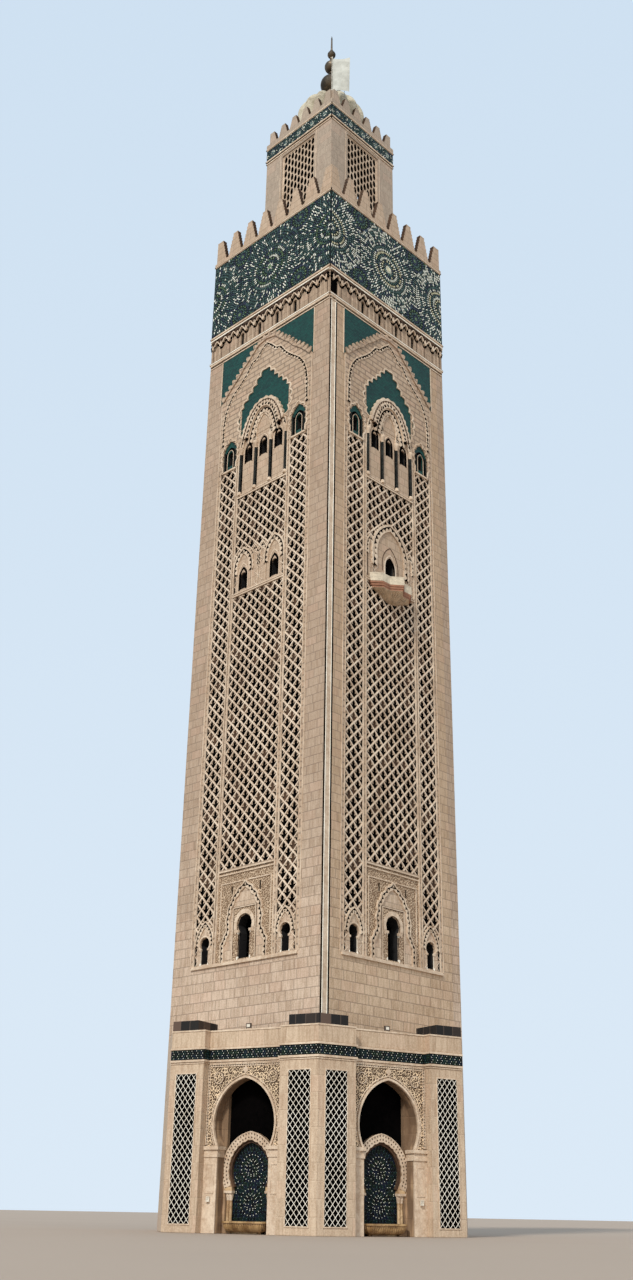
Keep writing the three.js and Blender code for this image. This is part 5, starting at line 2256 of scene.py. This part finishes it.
@dataclass
class Dome:
    """The lobed dome and the finial of three balls."""

    radius: float = 6.0
    neck: float = 0.7
    foot: float = 164.5
    middle: float = 169.5
    top: float = 175.6
    lobes: int = 16
    balls: Sequence[tuple[float, float]] = ((179.45, 1.84), (183.76, 1.18), (186.8, 0.71))
    tip: float = 191.4
    rod: tuple[float, float] = (0.26, 0.13)

    def shell(self) -> Relief:
        """A short drum and then a quarter ellipse, drawn in between its lobes.

        Returns:
            The relief of the dome.
        """
        relief = Relief()
        turns = np.linspace(0.0, math.acos(self.neck / self.radius), 22)
        radii = np.concatenate([[self.radius, self.radius], self.radius * np.cos(turns)])
        rise = (self.top - self.middle) / math.sin(turns[-1])
        heights = np.concatenate([[self.foot, self.foot + 2.5], self.middle + rise * np.sin(turns)])
        relief.turned((0, 0), radii, heights, self.lobes * 12, 0, (self.lobes, radii * 0.12))
        return relief

    def finial(self) -> Relief:
        """Balls strung on a rod that gets thinner, with collars at each.

        Returns:
            The relief of the finial.
        """
        relief = Relief()
        radii, heights = [self.neck, self.neck, 0.5], [self.top - 0.05, self.top + 0.25, self.top + 0.3]
        for middle, ball in self.balls:
            share = (middle - self.top) / (self.tip - self.top)
            stem = self.rod[0] * (1 - share) + self.rod[1] * share
            low = math.asin(min(0.9, stem / ball))
            turns = np.linspace(-math.pi / 2 + low, math.pi / 2 - low, 17)
            foot, head = middle - ball, middle + ball
            radii += [stem, stem * 1.7, stem * 1.7, *(ball * np.cos(turns)), stem * 1.7, stem * 1.7, stem]
            heights += [foot - 0.5, foot - 0.4, foot - 0.1, *(middle + ball * np.sin(turns))]
            heights += [head + 0.1, head + 0.3, head + 0.4]
        radii += [self.rod[1], 0.02]
        heights += [self.tip - 0.6, self.tip]
        relief.turned((0, 0), radii, heights, 32, 0)
        return relief


@dataclass
class Flag:
    """The flag: thin cloth that hangs from its pole and swings in the wind."""

    pole: tuple[float, float] = (6.25, -6.25)
    start: float = 0.105
    low: float = 168.3
    high: float = 175.6
    length: float = 2.8
    turn: float = 42.0
    columns: int = 60
    rows: int = 90
    slack: float = 1.025

    def build(self) -> None:
        """Waves run out from the pole, grow towards the free edge and lean down the cloth."""
        drop = self.high - self.low
        shares = (np.linspace(0, 1, count) for count in (self.columns, self.rows))
        across, down = np.meshgrid(*shares, indexing="ij")
        wave = 0.24 * across * np.sin(4.6 * across + 2.4 * down + 0.4)
        wave += 0.05 * across * np.sin(11 * across - 5 * down)
        along = self.start + self.length * across * (1 - 0.03 * down)
        turn = math.radians(self.turn)
        x = self.pole[0] + along * math.cos(turn) - wave * math.sin(turn)
        y = self.pole[1] + along * math.sin(turn) + wave * math.cos(turn)
        z = self.high - drop * down - 0.12 * across * (1 - down)
        points = np.stack([x, y, z], 2).reshape(-1, 3) * SCALE
        number = np.arange(self.columns * self.rows).reshape(self.columns, self.rows)
        corners = [number[:-1, :-1], number[:-1, 1:], number[1:, 1:], number[1:, :-1]]
        mesh = bpy.data.meshes.new("flag_cloth")
        mesh.from_pydata(points.tolist(), [], np.stack(corners, -1).reshape(-1, 4).tolist())
        mesh.materials.append(CLOTH.material())
        spots = np.stack([across * self.length, down * drop], 2).reshape(-1, 2)
        order = np.empty(len(mesh.loops), np.int32)
        mesh.loops.foreach_get("vertex_index", order)
        mesh.uv_layers.new(name="cloth").data.foreach_set("uv", spots[order].astype(np.float32).ravel())
        mesh.polygons.foreach_set("use_smooth", np.ones(len(mesh.polygons), bool))
        made = bpy.data.objects.new("flag_cloth", mesh)
        bpy.context.scene.collection.objects.link(made)
        hang(made, ["flag"])


# The base

BASE_COLUMN = (
    ((0.21, 0.21, 0.17), (0.5, 0.75, 0.85), Tone.CREAM),
    ((0.172, 0.165), (0.85, 3.2), Tone.CREAM),
    ((0.18, 0.18, 0.25, 0.28), (3.2, 3.3, 3.6, 3.92), Tone.STONE),
)

@dataclass
class Wing:
    """One wing of the base: two piers, and between them a bay with two arches and a basin."""

    middle: float = 9.575
    bay_half: float = 4.87
    bay_ends: tuple[float, float] = (4.7, 14.45)
    pier_ends: Sequence[tuple[float, float]] = ((-0.1, 4.72), (14.43, 18.87))
    panels: Sequence[float] = (2.25, 16.65)
    bay: float = -1.1
    niche: float = -2.5
    tile_wall: float = -3.02
    legs: float = 3.2
    wide_arch: tuple[float, ...] = (3.8, 10.8, 15.4, 8.5)
    low_arch: tuple[float, ...] = (2.6, 6.1, 9.2, 4.5)
    band: tuple[float, float] = (17.4, 18.45)
    mouldings: Sequence[tuple[float, float, float]] = (
        (17.25, 0.22, 0.16), (17.0, 0.1, 0.08), (18.56, 0.2, 0.16), (20.46, 0.16, 0.06),
    )
    ribs: int = 26

    def arch(self, sizes: Sequence[float], grow: float) -> Array:
        """One of the bay's two arches, grown by a distance."""
        return moved(horseshoe(*sizes, grow), self.middle)

    def tiles(self) -> Relief:
        """The tiled band over piers and bay, its mouldings and the coping of the parapet.

        Returns:
            The relief of one wing.
        """
        relief = Relief()
        low, high = self.band
        inner, outer = self.pier_ends
        for start, end, out in ((*inner, 0.0), (*self.bay_ends, self.bay), (*outer, 0.0)):
            relief.boxes((start, low, out - 0.05), (end, high, out + 0.05), Tone.GROUND)
            for row in range(4):
                along = np.arange(start + 0.2 + 0.16 * (row % 2), end - 0.1, 0.32)
                spots = [(x, 17.55 + 0.25 * row) for x in along]
                tones = np.where(np.arange(len(spots)) % 2, Tone.TEAL, Tone.WHITE)
                relief.studs(gem(0.04, 0.055), spots, out, out + 0.07, tones)
            for z, width, front in self.mouldings:
                relief.level((start, end), z, width, out - 0.02, out + front, Tone.STONE)
        for side, turn in zip(self.bay_ends, (1.0, -1.0)):
            self.returns(relief, side, turn)
        return relief

    def returns(self, relief: Relief, side: float, turn: float) -> None:
        """Carries the band and its mouldings round the side of a pier, back to the bay.

        Args:
            relief: What they are added to.
            side: Where the pier ends.
            turn: 1 where the bay lies beyond that, and -1 where it lies before.
        """
        low, high = self.band
        near, far = sorted((side - 0.05 * turn, side + 0.05 * turn))
        relief.boxes((near, low, self.bay), (far, high, 0.048), Tone.GROUND)
        x, size = side + 0.055 * turn, np.array([0.015, 0.055, 0.04])
        spots = np.array([
            (x, 17.55 + 0.25 * row, -0.92 + 0.32 * step + 0.16 * (row % 2))
            for row in range(4)
            for step in range(3)
        ])
        relief.boxes(spots - size, spots + size, Tone.TEAL)
        for z, width, front in self.mouldings:
            near, far = sorted((side - 0.05 * turn, side + front * turn))
            relief.boxes((near, z - width / 2, self.bay), (far, z + width / 2, front - 0.01), Tone.STONE)

    def grilles(self) -> Relief:
        """The tall panels of thin white bars over painted black shade on the piers, with their frames.

        Returns:
            The relief of one wing.
        """
        relief = Relief()
        low, high, half, columns, rows = 0.85, 15.9, 1.35, 4, 18
        rise = (high - low) / rows
        slope = rise / (2 * half / columns)
        x = np.array([-half, half])
        for middle in self.panels:
            # Painted shade: black behind the bars.
            relief.boxes((middle - half, low, -0.1), (middle + half, high, 0.012), Tone.BLACK_SHADE)
            for sign, front in ((1, 0.06), (-1, 0.066)):
                for step in range(-columns, rows + columns):
                    z = low + step * rise + sign * slope * (x + half * sign)
                    run = z[1] - z[0]
                    shares = sorted(np.clip((np.array([low, high]) - z[0]) / run, 0.0, 1.0))
                    if shares[1] - shares[0] < 0.02:
                        continue
                    ends = [(middle - half + 2 * half * share, z[0] + run * share) for share in shares]
                    relief.bar(np.array(ends), 0.044, 0.0, front, Tone.PALE)
            edge = rectangle(middle - half - 0.04, low - 0.04, middle + half + 0.04, high + 0.04)
            relief.bar(edge, 0.12, -0.02, 0.07, Tone.STONE, True)
        return relief

    def spandrel(self) -> Relief:
        """The carved ground round the large arch, its frame, the two bosses and the imposts.

        Returns:
            The relief of one wing.
        """
        relief = Relief()
        bay, m, half = self.bay, self.middle, self.bay_half
        back, foot, head = bay - 0.02, self.wide_arch[-1], 17.0
        corners = [(m + half, foot), (m + half, head), (m - half, head)]
        outline = np.concatenate([[(m - half, foot)], self.arch(self.wide_arch, 0.3), corners])
        relief.plate(outline, back, bay + 0.06, Tone.SPANDREL)
        relief.bar(self.arch(self.wide_arch, 0.12), 0.22, bay - 0.05, bay + 0.16, Tone.STONE)
        relief.bead(self.arch(self.wide_arch, 0.42), 0.07, bay + 0.03, Tone.STONE)
        pitted(relief, moved(portal(half - 0.22, 8.6, 16.75), m), 0.26, back, bay + 0.12, 0.3)
        # Painted shade: the widest, brown disc shows as a shadow ring round each boss.
        discs = ((0.68, 0.1, Tone.BROWN_SHADE), (0.62, 0.14, Tone.STONE), (0.52, 0.15, Tone.SPANDREL))
        for x in (m - 3.45, m + 3.45):
            for radius, front, tone in discs:
                proud = bay + front + 0.08 * (0.7 - radius)
                relief.plate(moved(disc(24) * radius, x, 15.45), back, proud, tone)
        relief.plate(moved(gem(0.4, 0.4), m, 16.25), back, bay + 0.14, Tone.STONE)
        imposts = ((7.4, 7.7, 0.2, 0.08), (7.7, 8.15, 0.12, 0.02), (8.15, 8.5, 0.3, 0.16))
        for side in (-1, 1):
            inner, outer = sorted((m + side * self.legs, m + side * half))
            relief.boxes((inner, 0.0, back), (outer, 7.5, bay + 0.1), Tone.STONE)
            for low, high, front, more in imposts:
                near, far = sorted((m + side * (self.legs - more), m + side * half))
                relief.boxes((near, low, bay - 1.3), (far, high, bay + front), Tone.STONE)
            panel = rectangle(inner + 0.35, 3.9, outer - 0.35, 6.7)
            relief.bar(panel, 0.1, bay, bay + 0.15, Tone.STONE, True)
        return relief

    def lamps(self) -> Relief:
        """The square lamp on the outer pilaster, and the floodlight on its bracket over the bay.

        Returns:
            The relief of one wing.
        """
        relief = Relief()
        x, out = self.middle + 4.05, self.bay
        relief.boxes((x - 0.07, 3.2, out + 0.05), (x + 0.07, 3.34, out + 0.3), 0)
        relief.bar(rectangle(x - 0.16, 3.05, x + 0.16, 3.5), 0.07, out + 0.2, out + 0.36, 0, True)
        relief.boxes((x - 0.12, 3.1, out + 0.22), (x + 0.12, 3.45, out + 0.3), 0)
        x, out = self.middle, self.bay - 0.2
        relief.boxes((x - 0.2, 20.5, out - 0.12), (x + 0.2, 20.56, out + 0.12), 1)
        for low, high in ((-0.34, -0.3), (0.3, 0.34)):
            relief.boxes((x + low, 20.53, out - 0.04), (x + high, 20.9, out + 0.04), 1)
        relief.bar(rectangle(x - 0.27, 20.68, x + 0.27, 21.1), 0.07, out - 0.1, out + 0.16, 1, True)
        relief.boxes((x - 0.25, 20.7, out - 0.1), (x + 0.25, 21.08, out + 0.12), 0)
        return relief

    def inner_arch(self) -> Relief:
        """The lobed inner arch with dots, its paired columns and the wall behind it, tiled, with shade
        painted black above and brown under the arch.

        Returns:
            The relief of one wing.
        """
        relief = Relief()
        m, out, wall = self.middle, self.niche, self.tile_wall
        path = resampled(self.arch(self.low_arch, 0.42), 200)
        relief.lobed(path, -0.36, 0.42, out - 0.02, out + 0.08, (17, 0), 0.1, Tone.STONE)
        relief.bead(self.arch(self.low_arch, 0.78), 0.07, out + 0.05, Tone.STONE)
        # Painted shade: brown dots stand for small pits.
        for apart, count in ((-0.16, 34), (0.2, 40)):
            spots = resampled(path + left_of(path) * apart, count)[1:-1]
            relief.studs(gem(0.085, 0.105), spots, out, out + 0.1, Tone.BROWN_SHADE)
        for x in (-2.695, -2.338, 2.338, 2.695):
            relief.column((m + x, out - 0.25), 12, BASE_COLUMN)
        for side in (-1, 1):
            inner, outer = sorted((m + side * 2.05, m + side * 3.05))
            relief.boxes((inner, 3.9, out - 0.5), (outer, 4.15, out + 0.14), Tone.STONE)
            relief.boxes((inner + 0.06, 4.15, out - 0.5), (outer - 0.06, 4.5, out + 0.08), Tone.CREAM)
        relief.boxes((m - 2.7, 0.3, wall - 0.025), (m + 2.7, 9.0, wall + 0.01), Tone.GROUND)
        self.rosettes(relief)
        # Painted shade: a brown ring under the arch, and black over the wall above the tiles.
        relief.bar(self.arch(self.low_arch, -0.14), 0.27, wall, wall + 0.36, Tone.BROWN_SHADE)
        relief.boxes((m - 3.1, 9.0, wall - 0.025), (m + 3.1, self.band[1], wall + 0.01), Tone.BLACK_SHADE)
        return relief

    def rosettes(self, relief: Relief) -> None:
        """Adds the cut tiles of the wall: fine rings round two large rosettes and two small ones.

        Args:
            relief: What the tiles are added to.
        """
        centres = np.array([(0.0, 6.4, 0.0), (0.0, 3.05, 0.0), (-1.78, 4.72, 1.2), (1.78, 4.72, 1.2)])
        leaf, pitch, wall = gem(0.06, 0.04), 0.165, self.tile_wall
        for number, centre in enumerate(centres):
            for step in range(1, 22):
                count = 2 * max(4, round(math.pi * step * pitch / 0.19))
                turn, spot = ring_of(centre, step * pitch, count, 0.5 * (step % 2))
                keep = (distances(spot, centres) + centres[:, 2]).argmin(1) == number
                keep &= (np.abs(spot[:, 0]) < 2.6) & (np.abs(spot[:, 1] - 4.9) < 4.0)
                pale = Tone.WHITE if step in (2, 4, 5, 8) else (Tone.TEAL, Tone.BLUE)[step % 2]
                tone = np.where(np.arange(count) % 2, pale, Tone.GROUND)[keep]
                if not len(tone):
                    continue
                tiles = facing_out(leaf[:, 0], leaf[:, 1], turn[keep]) + spot[keep][:, None, :]
                relief.prisms(moved(tiles, self.middle), wall, wall + 0.035, tone)

    def stack(self, relief: Relief, profile: Sequence[tuple[float, float]], depth: float) -> None:
        """Stacks rings of the basin's plan.

        Args:
            relief: What they are added to.
            profile: How far each ring is drawn in, and its height.
            depth: How far the grooves between the ribs are drawn in, below the rim.
        """
        corners = [(2.6, self.niche), (2.6, -1.75), (2.4, -1.36), (2.0, -1.14)]
        plan = resampled(np.array(corners + [(-x, out) for x, out in corners[::-1]]), 6 * self.ribs + 1)
        inward = left_of(plan)
        groove = depth * (1 - scallops(len(plan), self.ribs))
        rows = []
        for inset, height in profile:
            draw = inset + groove * (0.14 < height < 1.0)
            spots = plan + inward * draw[:, None]
            rows.append(np.column_stack([spots[:, 0] + self.middle, np.full(len(plan), height), spots[:, 1]]))
        relief.stacked(np.array(rows))

    def basin(self) -> Relief:
        """The ribbed basin, whose belly curves in to its foot.

        Returns:
            The relief of one wing.
        """
        relief = Relief()
        share = np.linspace(0.0, 1.0, 9)
        belly = [(0.8 * (1 - math.sqrt(1 - (1 - t) ** 2)) + 0.04, 0.15 + 0.83 * t) for t in share]
        foot, lip = [(0.86, 0.0), (0.86, 0.14)], [(0.0, 1.0), (-0.08, 1.03), (-0.08, 1.17), (-0.04, 1.2)]
        self.stack(relief, [*foot, *belly, *lip, (0.2, 1.2), (0.23, 1.16), (0.24, 0.5), (0.9, 0.3)], 0.08)
        return relief

    def water(self) -> Relief:
        """The still water in the basin.

        Returns:
            The relief of one wing.
        """
        relief = Relief()
        self.stack(relief, [(0.25, 0.6), (0.245, 1.02)], 0.0)
        return relief

    def build(self, name: str, place: Place) -> list[Piece]:
        """Makes the pieces of one wing.

        Args:
            name: Name of the wing's side.
            place: Where it stands.

        Returns:
            The pieces, not yet made.
        """
        carved = {
            "base_tile_band": self.tiles(),
            "pier_grilles": self.grilles(),
            "arch_spandrel": self.spandrel(),
            "inner_arch_trim": self.inner_arch(),
        }
        pieces = [Piece(f"{name}_{part}", CARVING, [(relief, place)]) for part, relief in carved.items()]
        basin, stands_for = [(self.basin(), place)], [f"{name}_fountain_basin"]
        pieces.append(Piece(f"{name}_lamps", (LAMP_METAL, SCREEN_PAINT), [(self.lamps(), place)]))
        pieces.append(Piece(f"{name}_basin", (BASIN_MARBLE,), basin, stands_for, 50.0))
        pieces.append(Piece(f"{name}_water", (WATER,), [(self.water(), place)]))
        return pieces


@dataclass
class Studio:
    """A pale floor, a soft sky, lights and the camera."""

    lens: float = 35.405
    pitch: float = 24.520
    roll: float = 1.040
    yaw: float = 0.663
    stand: tuple[float, float, float] = (10.9938, -11.3629, 0.2)
    floor_size: float = 400.0
    floor_drop: float = 0.002

    def floor(self) -> None:
        """A large plain floor, a little below the model's foot."""
        mesh = bpy.data.meshes.new("studio_floor")
        half = self.floor_size / 2
        corners = [(x, y, -self.floor_drop) for x, y in rectangle(-half, -half, half, half).tolist()]
        mesh.from_pydata(corners, [], [(0, 1, 2, 3)])
        finish = Shader("studio_paper")
        tone = finish.noise(finish.at(), 0.02, 2.0)
        finish.surface(finish.mix(stain(166, 148, 131), stain(158, 140, 123), tone), 0.9)
        mesh.materials.append(finish.material)
        made = bpy.data.objects.new("studio_floor", mesh)
        bpy.context.scene.collection.objects.link(made)

    def sky(self) -> None:
        """A pale sky, brighter towards the horizon."""
        world = bpy.data.worlds.new("sky")
        bpy.context.scene.world = world
        world.use_nodes = True
        tree = world.node_tree
        tree.nodes.clear()
        here = tree.nodes.new("ShaderNodeTexCoord")
        split = tree.nodes.new("ShaderNodeSeparateXYZ")
        ramp = tree.nodes.new("ShaderNodeValToRGB")
        back = tree.nodes.new("ShaderNodeBackground")
        output = tree.nodes.new("ShaderNodeOutputWorld")
        tree.links.new(here.outputs["Generated"], split.inputs[0])
        tree.links.new(split.outputs["Z"], ramp.inputs[0])
        tree.links.new(ramp.outputs[0], back.inputs[0])
        tree.links.new(back.outputs[0], output.inputs[0])
        ramp.color_ramp.elements[0].color = (*stain(220, 234, 247), 1)
        ramp.color_ramp.elements[1].color = (*stain(203, 222, 240), 1)
        back.inputs[1].default_value = 1.0

    def lights(self) -> None:
        """One soft sun from the left and behind the camera, and weak warm light from the right."""
        for name, strength, angle, aim, tint in (
            ("sun", 2.55, 8.0, (-0.29, 0.70, -0.65), (1.0, 0.97, 0.91)),
            ("bounce", 0.4, 60.0, (-0.85, 0.35, -0.2), (1.0, 0.8, 0.58)),
        ):
            lamp = bpy.data.lights.new(name, "SUN")
            lamp.energy = strength
            lamp.angle = math.radians(angle)
            lamp.color = tint
            made = bpy.data.objects.new(name, lamp)
            made.rotation_euler = Vector(aim).to_track_quat("-Z", "Y").to_euler()
            bpy.context.scene.collection.objects.link(made)

    def camera(self) -> None:
        """The camera, turned by its yaw, pitch and roll from the near corner."""
        look, level = np.array([1.0, -1.0, 0.0]) / math.sqrt(2), np.array([1.0, 1.0, 0.0]) / math.sqrt(2)
        yaw, pitch, roll = (math.radians(turn) for turn in (self.yaw, self.pitch, self.roll))
        ex = math.cos(yaw) * level + math.sin(yaw) * look
        ey = math.sin(yaw) * level - math.cos(yaw) * look
        up_axis = np.array([0.0, 0.0, 1.0])
        ahead = ey * math.cos(pitch) + up_axis * math.sin(pitch)
        up = -ey * math.sin(pitch) + up_axis * math.cos(pitch)
        right = ex * math.cos(roll) + up * math.sin(roll)
        top = -ex * math.sin(roll) + up * math.cos(roll)
        data = bpy.data.cameras.new("camera")
        data.lens = self.lens
        data.sensor_width = 36.0
        data.clip_end = 1000.0
        made = bpy.data.objects.new("camera", data)
        turn = np.column_stack([right, top, -ahead])
        made.matrix_world = Matrix.Translation(self.stand) @ Matrix(turn.tolist()).to_4x4()
        bpy.context.scene.collection.objects.link(made)
        bpy.context.scene.camera = made

    def build(self) -> None:
        """Sets everything round the model."""
        self.floor()
        self.sky()
        self.lights()
        self.camera()
        bpy.context.scene.view_settings.view_transform = "Standard"


SIDES = tuple(enumerate(("front", "right", "back", "left")))
WINGS = (("front", 1, 0), ("right", -1, 0), ("back", 1, 1), ("left", -1, 1))
STOREYS = ("lower", "window", "shaft")

NODE_FINISHES: tuple[tuple[str, Finish], ...] = (
    ("carved_facing", FINE_ROWS),
    # Painted light: warmer stone on the right and left walls.
    *((f"{side}_{part}_wall", WARM_LIT_STONE) for side in ("right", "left") for part in STOREYS),
    ("lower_wall", ASHLAR),
    ("window_wall", ASHLAR),
    ("shaft_wall", SHAFT_STONE),
    ("claustra", MOULDED),
    ("outer_pier", PIER_STONE),
    ("corner_pier", PIER_STONE),
    ("screen", SCREEN_PAINT),
    ("fountain_basin", BASIN_MARBLE),
    ("balcony", MOULDED),
    ("gallery", GALLERY_STONE),
    ("tile_band", TILE_GROUND),
    ("floor", SHADED_INNER_STONE),
    ("roof_deck", MOULDED),
    ("lantern_walls", LANTERN_STONE),
    ("lantern_roof", LANTERN_STONE),
    ("lantern_crenellation", LANTERN_STONE),
    ("crenellation", PLAIN_STONE),
    ("dome", DOME_STONE),
    ("finial", BRONZE),
    ("flagpole", POLE_METAL),
    ("flag", CLOTH),
)


def bay_stone(name: str, hand: int, turn: int) -> BayStone:
    """The stone of one wing's bay, which is stained behind that wing's own face.

    Args:
        name: Name of the wing's side.
        hand: Its hand, as for Place.wing.
        turn: Its turn, as for Place.wing.

    Returns:
        The finish.
    """
    return BayStone(
        f"{name}_bay_stone", "travertine", PIER_STONE.pale, PIER_STONE.deep,
        course=1.7, block=3.4, tone=0.1, joint=0.1, gap=0.075, out=Place.wing(hand, turn).out,
    )


def dress_nodes() -> None:
    """Gives every node of the solids its finish, found by the end of its name."""
    bays = {wing[0]: bay_stone(*wing) for wing in WINGS}
    for name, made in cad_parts.items():
        if name.endswith("fountain_bay"):
            finish = bays[name.split("_")[0]]
        else:
            finish = next((finish for end, finish in NODE_FINISHES if name.endswith(end)), ASHLAR)
        material = finish.material()
        for slot in made.material_slots:
            slot.material = material


def base_pieces() -> list[Piece]:
    """The pieces of the four wings."""
    wing = Wing()
    return [piece for name, hand, turn in WINGS for piece in wing.build(name, Place.wing(hand, turn))]


def shaft_pieces() -> list[Piece]:
    """The carved work of the shaft's sides, two with a pair of windows and then two with a balcony."""
    return ShaftSide(SideKind.PAIR).build(SIDES[0::2]) + ShaftSide(SideKind.BALCONY).build(SIDES[1::2])


def tile_reliefs() -> tuple[list[Relief], Relief]:
    """The main tiled band, with more white and gold chips on the right and left as painted highlight, and the
    lantern's one.

    Returns:
        The main band's two reliefs, and the lantern's one.
    """
    rosettes = tuple((x, 131.6) for x in (0.0, -12.6, 12.6))
    stars = tuple((x, z) for x in (-6.3, 6.3) for z in (126.0, 137.2))
    # Painted highlight: the right and left bands get more white chips and gold cores, for the sun's glint.
    bands = [
        TileBand(BAND_HALF, 124.4, 138.8, rosettes, stars, core=core, share=share).relief()
        for core, share in ((Tone.LEAF, 0.24), (Tone.GOLD, 0.52))
    ]
    rosettes = tuple((x, 162.57) for x in (-6.0, -3.0, 0.0, 3.0, 6.0))
    small = TileBand(
        LANTERN_BAND_HALF, 161.15, 164.0, rosettes, (),
        ring=0.32, chip=0.34, edge=0.12, reach=1.5, core=Tone.TEAL, share=0.2,
    )
    return bands, small.relief()


def head_pieces() -> list[Piece]:
    """The gallery's arches, the tiled bands and the lantern's trim and screens, side by side.

    Returns:
        The pieces, not yet made.
    """
    bands, small = tile_reliefs()
    lantern = Lantern()
    layers = (
        ("hanging_arches", [Gallery().relief()], HALF),
        ("cut_tiles", bands, BAND_HALF),
        ("lantern_tiles", [small], LANTERN_BAND_HALF),
        ("lantern_trim", [lantern.trim()], LANTERN_HALF),
        ("open_screen", [lantern.screen()], LANTERN_HALF),
    )
    pieces = []
    for number, side in SIDES:
        for name, reliefs, half in layers:
            placed = [(reliefs[number % len(reliefs)], Place.side(number, half))]
            stands_for = [f"{side}_claustra"] if name == "open_screen" else ()
            pieces.append(Piece(f"{side}_{name}", CARVING, placed, stands_for))
    return pieces


def crown_pieces() -> list[Piece]:
    """The merlons of the shaft and of the lantern, the rods, the balconies, the dome and the finial.

    Returns:
        The pieces, not yet made.
    """
    large = Merlons(
        half=12.7, foot=138.803, rail=0.5, top=143.6, count=8, span=11.72, wide=2.9, tip=1.0, plain=0.75
    )
    small = Merlons(
        half=7.5, foot=164.503, rail=0.45, top=167.4, count=6, span=6.35, wide=2.1, tip=0.85, plain=0.53
    )
    pieces = []
    for name, merlons, stone, node in (
        ("stepped_merlons", large, PLAIN_STONE, "crenellation"),
        ("lantern_merlons", small, LANTERN_STONE, "lantern_crenellation"),
    ):
        relief = merlons.relief()
        placed = [(relief, Place.side(number, merlons.half)) for number, _ in SIDES]
        pieces.append(Piece(name, (stone, PAINTED_BROWN_SHADE), placed, [node]))
    middle, rods, dome, balcony = Place.middle(), Relief(), Dome(), Balcony().relief()
    for spot, tip in (((-6.35, -6.6), 171.6), ((6.9, 4.0), 171.3)):
        rods.turned(spot, (0.1, 0.1, 0.05, 0.04), (164.6, 164.9, 165.0, tip), 8, 0)
    pieces.append(Piece("lightning_rods", (POLE_METAL,), [(rods, middle)]))
    for number, side in SIDES[1::2]:
        placed = [(balcony, Place.side(number))]
        pieces.append(Piece(f"{side}_pointed_balcony", (BALCONY_STONE,), placed, [f"{side}_balcony"]))
    pieces.append(Piece("lobed_dome", (DOME_STONE,), [(dome.shell(), middle)], ["dome"], 28.0))
    pieces.append(Piece("ball_finial", (BRONZE,), [(dome.finial(), middle)], ["finial"], 35.0))
    return pieces


def main() -> None:
    """Builds the sub-assemblies in order, from the base up, and then what stands round the model."""
    logging.basicConfig(level=logging.INFO, format="%(message)s")
    dress_nodes()
    for piece in [*base_pieces(), *shaft_pieces(), *head_pieces(), *crown_pieces()]:
        piece.made()
    Flag().build()
    Studio().build()


if __name__ == "__main__":
    main()
